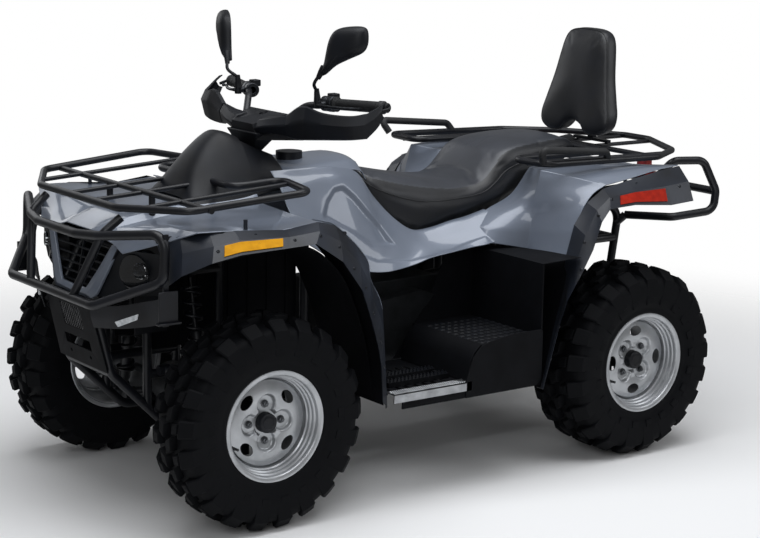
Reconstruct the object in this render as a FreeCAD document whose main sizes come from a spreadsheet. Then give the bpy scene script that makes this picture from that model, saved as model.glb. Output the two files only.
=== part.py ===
import FreeCAD, Part
import Sketcher
import math
import os

from FreeCAD import Placement, Rotation, Vector

# Quad bike, in millimetres. The bike faces +X, its left side is +Y and the ground is z = 0.
# x = 0 is the middle of its overall length.

# Driving sizes. Each is one cell of the sheet.
SIZES = {
    "wheel_base": 1430,
    "front_track": 953,
    "rear_track": 939,
    "tyre_radius": 317.5,
    "lug_height": 15,
    "front_tyre_width": 203,
    "rear_tyre_width": 247,
    "bead_radius": 152.4,
    "bead_gap": 0.3,
    "flange_lip": 14,
    "drop_depth": 14,
    "rim_wall": 3.5,
    "front_rim_width": 181,
    "rear_rim_width": 225,
    "seat_width": 26,
    "face_inset": 50,
    "nut_circle_radius": 55,
    "nut_radius": 9,
    "nut_clearance": 0.5,
    "slot_circle_radius": 98,
    "slot_radius": 15,
    "cap_radius": 30,
    "cap_height": 20,
    "cap_clearance": 0.5,
    "hub_flange_radius": 72,
    "hub_flange_thickness": 9,
    "hub_radius": 38,
    "hub_gap": 0.3,
    "front_inset": 81.5,
    "rear_inset": 69.5,
    "knuckle_reach": 35,
    "engine_length": 420,
    "engine_width": 260,
    "engine_height": 336,
    "rail_spacing": 260,
    "rail_radius": 14,
    "rail_height": 240,
    "cross_tube_radius": 12,
    "seat_gap": 0.3,
    "differential_length": 160,
    "shaft_radius": 13,
    "boot_radius": 34,
    "arm_tube_radius": 12,
    "bush_radius": 15.7,
    "boss_radius": 16,
    "damper_radius": 18,
    "spring_radius": 27,
    "column_radius": 12.7,
    "bearing_fit": 0.05,
    "column_rake": 18,
    "pitman_length": 76.5,
    "steering_arm": 90,
    "tie_rod_radius": 7,
    "bar_radius": 11,
    "grip_radius": 17,
    "guard_tube_radius": 14,
    "rack_tube_radius": 11,
    "slat_tube_radius": 7,
    "panel_wall": 4,
    "liner_wall": 3,
    "hitch_pin_radius": 9.5,
    "hitch_plate_thickness": 12,
    "fairlead_hole_spacing": 124,
    "fairlead_hole_radius": 5.5,
    "silencer_radius": 62,
    "silencer_length": 260,
    "fuel_cap_radius": 42,
    "fuel_cap_height": 26,
}

# Sizes that follow from the driving ones.
DERIVED = {
    "rim_seat_radius": "=bead_radius - bead_gap",
    "rim_flange_radius": "=bead_radius - bead_gap + flange_lip",
    "rim_drop_radius": "=bead_radius - bead_gap - drop_depth",
    "rim_seat_inside": "=bead_radius - bead_gap - rim_wall",
    "rim_flange_inside": "=bead_radius - bead_gap + flange_lip - rim_wall",
    "rim_drop_inside": "=bead_radius - bead_gap - drop_depth - rim_wall",
    "disc_bore": "=cap_radius + cap_clearance",
    "nut_hole_radius": "=nut_radius + nut_clearance",
    "engine_floor": "=rail_height + rail_radius + seat_gap",
}
for end in ("front", "rear"):
    half = "=%s_rim_width / 2" % end
    DERIVED.update({
        end + "_edge": half,
        end + "_lip": half + " - rim_wall",
        end + "_seat": half + " - seat_width",
        end + "_drop": half + " - seat_width - drop_depth",
        end + "_face": half + " - face_inset",
        end + "_back": half + " - face_inset - rim_wall",
        end + "_cap": half + " - face_inset + cap_height",
        end + "_flange_inner": half + " - face_inset - rim_wall - hub_flange_thickness",
        end + "_hub_inner": "=knuckle_reach - %s_inset + hub_gap" % end,
    })

# Middle of the front wheel in the drawing that the points below are read from.
DRAWN_AXLE = Vector(715, 0, 317.5)
# Furthest points ahead of and behind mid wheel base; x = 0 of the model lies halfway.
FRONT_REACH = 1152
REAR_REACH = -1262
# Beyond this distance from mid wheel base a point keeps its whole distance from its axle.
BLEND_REACH = 280

LUG_COLUMNS = 36
# Heights of the column's two bearings, and of the kingpins' ends and the steering arms.
BEARING_HEIGHTS = (500, 770)
LOWER_PIN = 222
UPPER_PIN = 412
STEERING_ARM_HEIGHT = 360
# From the kingpin line to the inner face of a knuckle.
KNUCKLE_INNER = 13
# Foot boards and the outriggers under them.
BOARD_FLOOR = 350
BOARD_WALL = 4
OUTRIGGERS = (235, 15)
OUTRIGGER_RADIUS = 10
STAY_RADIUS = 10
# How far the arch mouldings' ridge stands inboard of their lip.
FLARE_BOW = 32
# Where the racks' cross bars stand over their legs, and the legs' radius and spread.
RACK_BARS = (870, -905)
RACK_LEG_RADIUS = 10
RACK_LEGS = (-130, 130)
LAMP_RADIUS = 52

doc = FreeCAD.newDocument("QuadBike")
sheet = doc.addObject("Spreadsheet::Sheet", "Sizes")
for row, (alias, entry) in enumerate(list(SIZES.items()) + list(DERIVED.items()), 1):
    sheet.set("A%d" % row, alias)
    sheet.set("B%d" % row, str(entry))
    sheet.setAlias("B%d" % row, alias)
doc.recompute()

nodes = []


def size(alias):
    return float(sheet.get(alias))


half_base = size("wheel_base") / 2
shift = -(FRONT_REACH + REAR_REACH) / 2
axle_height = size("tyre_radius")


def front(x, y, z):
    """Point drawn from mid wheel base, kept at its distance from the front axle."""
    return Vector(x - DRAWN_AXLE.x + half_base, y, z - DRAWN_AXLE.z)


def rear(x, y, z):
    """Point drawn from mid wheel base, kept at its distance from the rear axle."""
    return Vector(x + DRAWN_AXLE.x - half_base, y, z - DRAWN_AXLE.z)


def middle(x, y, z):
    """Point kept at its distance from the middle of the wheel base."""
    return Vector(x, y, z - DRAWN_AXLE.z)


def anchored(x, y, z):
    """Point tied to the nearer axle; near mid wheel base the two ties blend."""
    share = max(-1, min(1, x / BLEND_REACH))
    return Vector(x + share * (half_base - DRAWN_AXLE.x), y, z - DRAWN_AXLE.z)


COLUMN_FOOT = front(645, 0, 390)
COLUMN_AXIS = Vector(math.sin(math.radians(size("column_rake"))), 0,
                     -math.cos(math.radians(size("column_rake"))))


def mirrored(shape):
    return shape.mirror(Vector(0, 0, 0), Vector(0, 1, 0))


def add_node(label, shape):
    node = doc.addObject("Part::Feature", label)
    node.Label = label
    node.Shape = shape
    node.Placement = Placement(Vector(shift, 0, axle_height), Rotation())
    nodes.append(node)
    return node


def add_pair(label, shape):
    """One node with the shape on the left and its mirror image on the right."""
    return add_node(label, Part.Compound([shape, mirrored(shape)]))


def add_sides(label, shape):
    """A left node and its mirror image as a right node, for pieces that move apart."""
    add_node(label + "_left", shape)
    add_node(label + "_right", mirrored(shape))


def add_group(label, shapes):
    """One node of like pieces that don't touch."""
    return add_node(label, Part.Compound(shapes))


def fused(shapes):
    whole = shapes[0].multiFuse(shapes[1:])
    return whole.removeSplitter()


def bend_at(before, corner, after, bend):
    """Start, middle and end of the arc that rounds a corner."""
    one = (before - corner).normalize()
    two = (after - corner).normalize()
    half = one.getAngle(two) / 2
    room = 0.45 * min((before - corner).Length, (after - corner).Length)
    setback = min(bend / math.tan(half), room)
    radius = setback * math.tan(half)
    bisector = (one + two).normalize()
    centre = corner + bisector * math.hypot(radius, setback)
    return corner + one * setback, centre - bisector * radius, corner + two * setback


def shape_of(label):
    """A finished node's shape in the drawing's own place."""
    shape = next(node for node in nodes if node.Label == label).Shape.copy()
    shape.Placement = Placement()
    return shape


def biggest(shape):
    return max(shape.Solids, key=lambda solid: solid.Volume)


def seated(base, post, other, towards):
    """The base with a post fused to it that stops just short of the piece it reaches."""
    step = towards.normalize() * size("seat_gap")
    post = post.cut(other).cut(other.translated(step * -1))
    return biggest(base.multiFuse(post.Solids))


def clear_of(shape, label):
    """The shape trimmed to stand just above another node."""
    other = shape_of(label)
    return shape.cut(other).cut(other.translated(Vector(0, 0, size("seat_gap"))))


def tube(points, radius, bend=45, closed=False):
    """Round tube along straight runs joined by tangent arcs."""
    count = len(points)
    corners = range(count) if closed else range(1, count - 1)
    arcs = [bend_at(points[i - 1], points[i], points[(i + 1) % count], bend) for i in corners]
    edges = []
    start = arcs[-1][2] if closed else points[0]
    first = start
    for begin, mid, end in arcs:
        edges.append(Part.LineSegment(start, begin).toShape())
        edges.append(Part.Arc(begin, mid, end).toShape())
        start = end
    if not closed:
        edges.append(Part.LineSegment(start, points[-1]).toShape())
    direction = edges[0].Vertexes[1].Point - edges[0].Vertexes[0].Point
    ring = Part.Wire(Part.makeCircle(radius, first, direction))
    return Part.Wire(edges).makePipeShell([ring], True, False)


def rod(start, end, radius):
    return Part.makeCylinder(radius, (end - start).Length, start, end - start)


def barrel(centre, axis, radius, length):
    """Cylinder about its centre."""
    return Part.makeCylinder(radius, length, centre - axis * (length / 2), axis)


def block(low, high):
    return Part.makeBox(high.x - low.x, high.y - low.y, high.z - low.z, low)


def eased(points, steps=3):
    """Points along a smooth curve through the given ones, with no overshoot."""
    if len(points) < 3:
        return list(points)
    spans = [max((b - a).Length, 1e-6) ** 0.5 for a, b in zip(points, points[1:])]
    slopes = [(b - a) / span for a, b, span in zip(points, points[1:], spans)]
    tangents = [slopes[0]]
    for before, after, one, two in zip(slopes, slopes[1:], spans, spans[1:]):
        tangents.append((before * two + after * one) / (one + two))
    tangents.append(slopes[-1])
    result = [points[0]]
    for i, span in enumerate(spans):
        a, b = points[i], points[i + 1]
        for k in range(1, steps + 1):
            u = k / steps
            result.append(a * (2 * u**3 - 3 * u**2 + 1) + tangents[i] * (span * (u**3 - 2 * u**2 + u))
                          + b * (3 * u**2 - 2 * u**3) + tangents[i + 1] * (span * (u**3 - u**2)))
    return result


def eased_grid(grid, steps=3):
    rows = [eased(row, steps) for row in grid]
    columns = [eased([row[j] for row in rows], steps) for j in range(len(rows[0]))]
    return [[column[i] for column in columns] for i in range(len(columns[0]))]


def skin(grid, wall):
    """Sheet of even thickness whose outer face passes through a grid of points."""
    grid = eased_grid(grid)
    rows, columns = len(grid), len(grid[0])

    def normal(i, j):
        along = grid[min(i + 1, rows - 1)][j] - grid[max(i - 1, 0)][j]
        across = grid[i][min(j + 1, columns - 1)] - grid[i][max(j - 1, 0)]
        return along.cross(across).normalize()

    inner = [[grid[i][j] - normal(i, j) * wall for j in range(columns)] for i in range(rows)]
    surfaces = []
    for points in (grid, inner):
        surface = Part.BSplineSurface()
        surface.interpolate(points)
        surfaces.append(surface)
    faces = [surface.toShape() for surface in surfaces]
    low_u, high_u, low_v, high_v = surfaces[0].bounds()
    for along, value in (("u", low_u), ("u", high_u), ("v", low_v), ("v", high_v)):
        rims = [(s.uIso(value) if along == "u" else s.vIso(value)).toShape() for s in surfaces]
        faces.append(Part.makeRuledSurface(rims[0], rims[1], 1))
    shell = Part.Shell(faces)
    shell.sewShape()
    solid = Part.Solid(shell)
    if solid.Volume < 0:
        solid.reverse()
    return solid


def loft(sections, ruled=True):
    """Solid through closed outlines given as lists of points."""
    wires = [Part.makePolygon(list(points) + [points[0]]) for points in sections]
    solid = Part.makeLoft(wires, True, ruled)
    points, facets = solid.tessellate(5)
    signed = sum(points[a].dot(points[b].cross(points[c])) for a, b, c in facets)
    return solid if signed > 0 else Part.makeLoft(wires[::-1], True, ruled)


def prism(points, depth):
    face = Part.Face(Part.makePolygon(list(points) + [points[0]]))
    return face.extrude(depth)


def origin_plane(body, role):
    return next(item for item in body.Origin.OriginFeatures if item.Role == role)


def outline(body, name, corners):
    """Closed sketch on the body's XY plane, each corner a pair of the sheet's aliases."""
    sketch = body.newObject("Sketcher::SketchObject", name)
    sketch.AttachmentSupport = [(origin_plane(body, "XY_Plane"), "")]
    sketch.MapMode = "FlatFace"

    def value(alias):
        return -size(alias[1:]) if alias.startswith("-") else size(alias) if alias else 0.0

    places = [Vector(value(a), value(b), 0) for a, b in corners]
    count = len(corners)
    for i in range(count):
        sketch.addGeometry(Part.LineSegment(places[i], places[(i + 1) % count]), False)
    for i in range(count):
        sketch.addConstraint(Sketcher.Constraint("Coincident", i, 2, (i + 1) % count, 1))
    for i, pair in enumerate(corners):
        for kind, axis, alias in (("DistanceX", -2, pair[0]), ("DistanceY", -1, pair[1])):
            if not alias:
                sketch.addConstraint(Sketcher.Constraint("PointOnObject", i, 1, axis))
                continue
            sign = "-" if alias.startswith("-") else ""
            index = sketch.addConstraint(
                Sketcher.Constraint(kind, -1, 1, i, 1, value(alias)))
            sketch.setExpression("Constraints[%d]" % index, sign + "Sizes." + alias.lstrip("-"))
    return sketch


def revolve(body, name, sketch):
    turned = body.newObject("PartDesign::Revolution", name)
    turned.Profile = sketch
    turned.ReferenceAxis = (sketch, ["V_Axis"])
    turned.Angle = 360
    return turned


def round_holes(body, name, radius_alias, circle_alias, count, start_angle):
    """Ring of through holes round the axle, pocketed from the XZ plane both ways."""
    sketch = body.newObject("Sketcher::SketchObject", name + "Sketch")
    sketch.AttachmentSupport = [(origin_plane(body, "XZ_Plane"), "")]
    sketch.MapMode = "FlatFace"
    reach, radius = size(circle_alias), size(radius_alias)
    sketch.addGeometry(Part.Circle(Vector(reach, 0, 0), Vector(0, 0, 1), radius), False)
    sketch.addConstraint(Sketcher.Constraint("PointOnObject", 0, 3, -1))
    across = sketch.addConstraint(Sketcher.Constraint("DistanceX", -1, 1, 0, 3, reach))
    sketch.setExpression("Constraints[%d]" % across, "Sizes." + circle_alias)
    around = sketch.addConstraint(Sketcher.Constraint("Radius", 0, radius))
    sketch.setExpression("Constraints[%d]" % around, "Sizes." + radius_alias)
    sketch.AttachmentOffset = Placement(Vector(0, 0, 0), Rotation(Vector(0, 0, 1), start_angle))
    pocket = body.newObject("PartDesign::Pocket", name)
    pocket.Profile = sketch
    pocket.Type = "ThroughAll"
    pocket.Midplane = True
    pattern = body.newObject("PartDesign::PolarPattern", name + "Ring")
    pattern.Originals = [pocket]
    pattern.Axis = (origin_axis(body, "Y_Axis"), [""])
    pattern.Angle = 360
    pattern.Occurrences = count
    body.Tip = pattern
    return pattern


def origin_axis(body, role):
    return next(item for item in body.Origin.OriginFeatures if item.Role == role)


def place_wheel_part(body, end, side):
    """Put a body, drawn with its outer side towards +Y, on its axle."""
    turn = 0 if side == "left" else 180
    body.Placement = Placement(Vector(0, 0, 0), Rotation(Vector(0, 0, 1), turn))
    sign = "" if side == "left" else "-"
    along = "" if end == "front" else "-"
    body.setExpression("Placement.Base.x", "%sSizes.wheel_base / 2 + %r" % (along, shift))
    body.setExpression("Placement.Base.y", "%sSizes.%s_track / 2" % (sign, end))
    body.setExpression("Placement.Base.z", "Sizes.tyre_radius")


def make_rim(end, side):
    """Pressed steel wheel: stepped barrel, dished disc, four slots and four nut holes."""
    body = doc.addObject("PartDesign::Body", "rim_%s_%s" % (end, side))
    body.Label = "rim_%s_%s" % (end, side)
    edge, lip, seat, drop = (end + name for name in ("_edge", "_lip", "_seat", "_drop"))
    profile = [
        ("rim_flange_radius", edge), ("rim_flange_radius", lip), ("rim_seat_radius", lip),
        ("rim_seat_radius", seat), ("rim_drop_radius", drop),
        ("rim_drop_radius", "-" + drop), ("rim_seat_radius", "-" + seat),
        ("rim_seat_radius", "-" + lip), ("rim_flange_radius", "-" + lip),
        ("rim_flange_radius", "-" + edge), ("rim_seat_inside", "-" + edge),
        ("rim_seat_inside", "-" + seat), ("rim_drop_inside", "-" + drop),
        ("rim_drop_inside", end + "_back"), ("disc_bore", end + "_back"),
        ("disc_bore", end + "_face"), ("rim_drop_inside", end + "_face"),
        ("rim_drop_inside", drop), ("rim_seat_inside", seat), ("rim_seat_inside", edge),
    ]
    revolve(body, "Barrel", outline(body, "BarrelProfile", profile))
    doc.recompute()
    round_holes(body, "Slots", "slot_radius", "slot_circle_radius", 4, 45 if end == "front" else 0)
    round_holes(body, "NutHoles", "nut_hole_radius", "nut_circle_radius", 4,
                0 if end == "front" else 45)
    place_wheel_part(body, end, side)
    nodes.append(body)


def make_hub(end, side):
    """Hub with its flange behind the wheel's disc and its cap in front."""
    body = doc.addObject("PartDesign::Body", "hub_%s_%s" % (end, side))
    body.Label = "hub_%s_%s" % (end, side)
    profile = [
        ("", end + "_hub_inner"), ("hub_radius", end + "_hub_inner"),
        ("hub_radius", end + "_flange_inner"), ("hub_flange_radius", end + "_flange_inner"),
        ("hub_flange_radius", end + "_back"), ("cap_radius", end + "_back"),
        ("cap_radius", end + "_cap"), ("", end + "_cap"),
    ]
    revolve(body, "Core", outline(body, "CoreProfile", profile))
    doc.recompute()
    place_wheel_part(body, end, side)
    nodes.append(body)


def tyre_shape(width, lip):
    """Tyre as flat facets: plain side walls and a tread of raised and sunk cells."""
    tip = size("tyre_radius")
    base = tip - size("lug_height")
    bead = size("bead_radius")
    half = width / 2
    column = 2 * math.pi / LUG_COLUMNS
    stretch = 1 / math.cos(column / 2)
    shelf = lip - size("bead_gap")
    over = bead + size("flange_lip") + 1
    wall = [(bead, shelf), (over, shelf), (over + 16, half), (base - 40, half),
            (base, 0.92 * half)]
    shoulder, inner, groove = 0.92 * half, 0.5 * half, 0.12 * half
    tread_edges = [shoulder, inner, groove, -groove, -inner, -shoulder]
    faces = []

    def place(radius, y, i):
        angle = (i - 0.5) * column - math.pi / 2
        return Vector(radius * stretch * math.cos(angle), y, radius * stretch * math.sin(angle))

    def face(*points):
        faces.append(Part.Face(Part.makePolygon(list(points) + [points[0]])))

    def ring(i, one, two):
        (r1, y1), (r2, y2) = one, two
        face(place(r1, y1, i), place(r1, y1, i + 1), place(r2, y2, i + 1), place(r2, y2, i))

    def height(strip, i):
        """Radius of a tread cell: long and short lugs take turns on each side."""
        i %= LUG_COLUMNS
        raised = [i % 2 == 0, i % 4 == 0, False, i % 4 == 3, i % 2 == 1]
        return tip if 0 <= strip < len(raised) and raised[strip] else base

    for i in range(LUG_COLUMNS):
        for sign in (1, -1):
            for (r1, y1), (r2, y2) in zip(wall, wall[1:]):
                ring(i, (r1, sign * y1), (r2, sign * y2))
        ring(i, wall[0], (wall[0][0], -wall[0][1]))
        for strip in range(len(tread_edges) - 1):
            level = height(strip, i)
            ring(i, (level, tread_edges[strip]), (level, tread_edges[strip + 1]))
            following = height(strip, i + 1)
            if level != following:
                low, high = tread_edges[strip + 1], tread_edges[strip]
                face(place(level, low, i + 1), place(following, low, i + 1),
                     place(following, high, i + 1), place(level, high, i + 1))
        for edge in range(len(tread_edges)):
            one, two = height(edge - 1, i), height(edge, i)
            if one != two:
                ring(i, (one, tread_edges[edge]), (two, tread_edges[edge]))
    shell = Part.Shell(faces)
    shell.sewShape()
    solid = Part.Solid(shell)
    if solid.Volume < 0:
        solid.reverse()
    return solid


def make_tyre(end, side):
    width = size(end + "_tyre_width")
    node = doc.addObject("Part::Feature", "tyre_%s_%s" % (end, side))
    node.Label = "tyre_%s_%s" % (end, side)
    node.Shape = tyre_shape(width, size(end + "_lip"))
    place_wheel_part(node, end, side)
    nodes.append(node)


def make_wheels():
    for end in ("front", "rear"):
        for side in ("left", "right"):
            make_tyre(end, side)
            make_rim(end, side)
            make_hub(end, side)


def make_frame():
    """Main loops on both sides, posts, arm rails, cross tubes and the column's two sleeves."""
    y = size("rail_spacing") / 2
    radius = size("rail_radius")
    cross = size("cross_tube_radius")
    low = size("rail_height")
    loop = [rear(-1000, y, 760), rear(-960, y, 500), rear(-860, y, low), front(830, y, low),
            front(1012, y, 420), front(1057, y, 600), front(960, y, 790), front(430, y, 820),
            front(130, y, 690), rear(-300, y, 690), rear(-420, y, 760)]
    pieces = []
    for side in (1, -1):
        def at(point):
            return Vector(point.x, side * point.y, point.z)
        pieces.append(tube([at(p) for p in loop], radius, 60, True))
        for foot, head in (
            (front(640, y, low), front(640, y, 811)), (front(890, y, 297), front(890, y, 794)),
            (rear(-640, y, low), rear(-640, y, 760)), (front(330, y, low), front(330, y, 777)),
            (rear(-400, y, low), rear(-400, y, 748)),
            (front(640, y, 400), front(890, y, 400)), (rear(-640, y, 400), rear(-921, y, 400)),
            (front(640, y, 700), front(890, y, 700)), (rear(-640, y, 640), rear(-981, y, 640)),
        ):
            pieces.append(rod(at(foot), at(head), radius))
    spans = [front(DRAWN_AXLE.x, y, low), front(330, y, low), front(1012, y, 420),
             front(1057, y, 600), front(960, y, 785), front(870, y, 700),
             rear(-DRAWN_AXLE.x, y, low), rear(-400, y, low), rear(-921, y, 400),
             rear(-640, y, 760), rear(-981, y, 640), rear(-300, y, 690)]
    for point in spans:
        pieces.append(rod(Vector(point.x, -point.y, point.z), point, cross))
    carry = BOARD_FLOOR - BOARD_WALL - size("seat_gap") - OUTRIGGER_RADIUS
    for x in OUTRIGGERS:
        for side in (1, -1):
            run = [front(x, side * y, low), front(x, side * (y + 40), low),
                   front(x, side * (y + 90), carry), front(x, side * 555, carry)]
            pieces.append(tube(run, OUTRIGGER_RADIUS, 40))
    for height in BEARING_HEIGHTS:
        centre = column_point(height)
        ends = front(640, y, height)
        run = [Vector(ends.x, -y, ends.z), Vector(centre.x, -70, centre.z),
               Vector(centre.x, 70, centre.z), Vector(ends.x, y, ends.z)]
        pieces.append(tube(run, cross, 20))
        pieces.append(barrel(centre, COLUMN_AXIS, 26, 50))
    frame = fused(pieces)
    for height in BEARING_HEIGHTS:
        bore = size("column_radius") + size("bearing_fit")
        frame = frame.cut(barrel(column_point(height), COLUMN_AXIS, bore, 80))
    add_node("frame", frame)


def column_point(height):
    """Point of the column's axis at a height above the ground."""
    rise = height - DRAWN_AXLE.z - COLUMN_FOOT.z
    return COLUMN_FOOT - COLUMN_AXIS * (rise / -COLUMN_AXIS.z)


def make_engine():
    """Engine as one plain block, with its side covers."""
    engine = doc.addObject("Part::Box", "engine_block")
    engine.Label = "engine_block"
    engine.setExpression("Length", "Sizes.engine_length")
    engine.setExpression("Width", "Sizes.engine_width")
    engine.setExpression("Height", "Sizes.engine_height")
    engine.setExpression("Placement.Base.x", "%r - Sizes.engine_length / 2 + 10" % shift)
    engine.setExpression("Placement.Base.y", "-Sizes.engine_width / 2")
    engine.setExpression("Placement.Base.z",
                         "Sizes.engine_floor + Sizes.tyre_radius - %r" % DRAWN_AXLE.z)
    nodes.append(engine)
    outer = size("engine_width") / 2 + size("seat_gap")
    y_axis = Vector(0, 1, 0)
    cover = fused([
        Part.makeCylinder(118, 62, middle(-75, outer, 440), y_axis),
        Part.makeCylinder(96, 62, middle(130, outer, 440), y_axis),
        prism([middle(-75, outer, 322), middle(130, outer, 344), middle(130, outer, 536),
               middle(-75, outer, 558)], Vector(0, 62, 0)),
    ])
    side = Part.makeCylinder(95, 45, middle(40, -outer, 430), -y_axis)
    add_group("engine_covers", [cover, side])


def make_differentials():
    """Axle housings between the frame's low tubes."""
    half = size("differential_length") / 2
    y_axis = Vector(0, 1, 0)
    housings = []
    housing_radius = DRAWN_AXLE.z - size("rail_height") - size("cross_tube_radius") \
        - size("seat_gap")
    for point in (front(DRAWN_AXLE.x, 0, DRAWN_AXLE.z), rear(-DRAWN_AXLE.x, 0, DRAWN_AXLE.z)):
        housings.append(fused([barrel(point, y_axis, housing_radius, half),
                               barrel(point, y_axis, housing_radius * 0.6, 2 * half)]))
    add_group("differentials", housings)


def make_half_shafts():
    """Shafts with rubber boots from the differentials to the knuckles."""
    start = size("differential_length") / 2 + size("seat_gap")
    y_axis = Vector(0, 1, 0)
    shafts = []
    for end, axle, inner in (("front", front(DRAWN_AXLE.x, 0, DRAWN_AXLE.z), 40),
                             ("rear", rear(-DRAWN_AXLE.x, 0, DRAWN_AXLE.z), None)):
        pin = size(end + "_track") / 2 - size(end + "_inset")
        stop = pin - (inner or KNUCKLE_INNER + size("seat_gap"))
        radius, boot = size("shaft_radius"), size("boot_radius")
        at = Vector(axle.x, start, axle.z)
        shaft = fused([
            Part.makeCylinder(radius, stop - start, at, y_axis),
            Part.makeCone(boot * 0.9, radius + 3, 45, at, y_axis),
            Part.makeCone(radius + 3, boot, 45, Vector(axle.x, stop - 60, axle.z), y_axis),
            Part.makeCylinder(boot, 15, Vector(axle.x, stop - 15, axle.z), y_axis),
        ])
        shafts += [shaft, mirrored(shaft)]
    add_group("half_shafts", shafts)


def arm(end, feet, boss_low, boss_high, foot_y, foot_z, aim_z):
    """Forked arm: two bushes on the frame, two tubes and a boss round the kingpin line."""
    pin_y = size(end + "_track") / 2 - size(end + "_inset")
    point = front if end == "front" else rear
    axle = DRAWN_AXLE.x if end == "front" else -DRAWN_AXLE.x
    x_axis = Vector(1, 0, 0)
    boss = Part.makeCylinder(size("boss_radius"), boss_high - boss_low,
                             point(axle, pin_y, boss_low), Vector(0, 0, 1))
    pieces = [boss]
    for foot in feet:
        inner = point(axle + foot, foot_y, foot_z)
        pieces.append(barrel(inner, x_axis, size("bush_radius"), 36))
        pieces.append(rod(inner, point(axle, pin_y - 4, aim_z), size("arm_tube_radius")))
    return fused(pieces)


def make_suspension():
    """Forked arms, springs with dampers, and the knuckles of all four wheels."""
    gap = size("seat_gap")
    rail, bush = size("rail_radius"), size("bush_radius")
    y = size("rail_spacing") / 2
    reach = rail + bush + gap
    low_y, low_z = y + reach * math.cos(math.radians(30)), size("rail_height") + reach / 2
    high_z = 400 + reach / 2
    shocks = []
    for end, low_feet, high_feet in (("front", (-115, 80), (-35, 133)),
                                     ("rear", (115, -80), (35, -150))):
        low_arm = arm(end, low_feet, 194, LOWER_PIN - gap, low_y, low_z, 206)
        high_arm = arm(end, high_feet, UPPER_PIN + gap, 440, low_y, high_z, 426)
        add_group(end + "_arms", [low_arm, mirrored(low_arm), high_arm, mirrored(high_arm)])
        shock = shock_unit(end, reach, low_y, low_z)
        shocks += [shock, mirrored(shock)]
    add_group("shocks", shocks)
    add_sides("front_knuckle", knuckle("front"))
    add_pair("rear_knuckles", knuckle("rear"))


def shock_unit(end, reach, low_y, low_z):
    """Spring and damper from the lower arm up to the upper rail."""
    point = front if end == "front" else rear
    sign = 1 if end == "front" else -1
    axle = sign * DRAWN_AXLE.x
    pin_y = size(end + "_track") / 2 - size(end + "_inset")
    spread = 80
    share = 0.42
    leg = point(axle + sign * spread * (1 - share), low_y + (pin_y - 4 - low_y) * share,
                low_z + (206 - low_z) * share)
    eye = size("bush_radius")
    foot = leg + Vector(0, 0, size("arm_tube_radius") + eye + 2 * size("seat_gap") + 1.5)
    rail_z = (700 if end == "front" else 640) - DRAWN_AXLE.z
    head = Vector(foot.x, size("rail_spacing") / 2 + reach * math.cos(math.radians(10)),
                  rail_z + reach * math.sin(math.radians(10)))
    axis = (head - foot).normalize()
    length = (head - foot).Length
    x_axis = Vector(1, 0, 0)
    return fused([
        barrel(foot, x_axis, eye, 30), barrel(head, x_axis, eye, 30),
        rod(foot, head, 8),
        rod(foot + axis * 40, foot + axis * (length * 0.62), size("damper_radius")),
        rod(foot + axis * 60, foot + axis * 66, size("spring_radius") + 3),
        rod(foot + axis * (length - 50), foot + axis * (length - 44), size("spring_radius") + 3),
    ] + [coil(foot + axis * 66, axis, length - 116)])


def coil(start, axis, length):
    """Spring drawn as a ribbed sleeve of rings."""
    turns = 9
    pitch = length / turns
    radius = size("spring_radius")
    pieces = [rod(start - axis, start + axis * (length + 1), radius - 9)]
    for i in range(turns):
        centre = start + axis * (pitch * (i + 0.5))
        pieces.append(rod(centre - axis * 4, centre + axis * 4, radius))
    return fused(pieces)


def knuckle(end):
    """Upright with its bearing housing; the front one has a steering arm behind it."""
    point = front if end == "front" else rear
    axle = DRAWN_AXLE.x if end == "front" else -DRAWN_AXLE.x
    pin = size(end + "_track") / 2 - size(end + "_inset")
    pieces = [
        block(point(axle - 15, pin - KNUCKLE_INNER, LOWER_PIN),
              point(axle + 15, pin + KNUCKLE_INNER, UPPER_PIN)),
        Part.makeCylinder(44, size("knuckle_reach") + KNUCKLE_INNER,
                          point(axle, pin - KNUCKLE_INNER, DRAWN_AXLE.z), Vector(0, 1, 0)),
    ]
    if end == "front":
        arm_x = axle - size("steering_arm")
        low, high = STEERING_ARM_HEIGHT - 14, STEERING_ARM_HEIGHT
        pieces.append(block(point(arm_x, pin - 8, low), point(axle, pin + 8, high)))
        pieces.append(Part.makeCylinder(13, high - low, point(arm_x, pin, low), Vector(0, 0, 1)))
        pieces.append(Part.makeCylinder(5, 22, point(arm_x, pin, high), Vector(0, 0, 1)))
    return fused(pieces)


def pitman_pin():
    """Place of the tie rods' open pivot behind the column's foot."""
    behind = Vector(-math.cos(math.radians(size("column_rake"))), 0,
                    -math.sin(math.radians(size("column_rake"))))
    return COLUMN_FOOT + behind * size("pitman_length")


def make_tie_rods():
    """Rods from the column's plate, where their pivots are open, to the steering arms."""
    pin = size("front_track") / 2 - size("front_inset")
    outer = front(DRAWN_AXLE.x - size("steering_arm"), pin,
                  STEERING_ARM_HEIGHT + size("seat_gap") + 9)
    eye = Part.makeCylinder(12, 18, outer - Vector(0, 0, 9), Vector(0, 0, 1))
    inner = pitman_pin() + Vector(0, 16, -34)
    rod_end = rod(inner, outer, size("tie_rod_radius"))
    whole = fused([eye, rod_end, Part.makeSphere(11, inner)])
    bore = Part.makeCylinder(5 + size("bearing_fit"), 30, outer - Vector(0, 0, 15), Vector(0, 0, 1))
    add_sides("tie_rod", whole.cut(bore))


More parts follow.
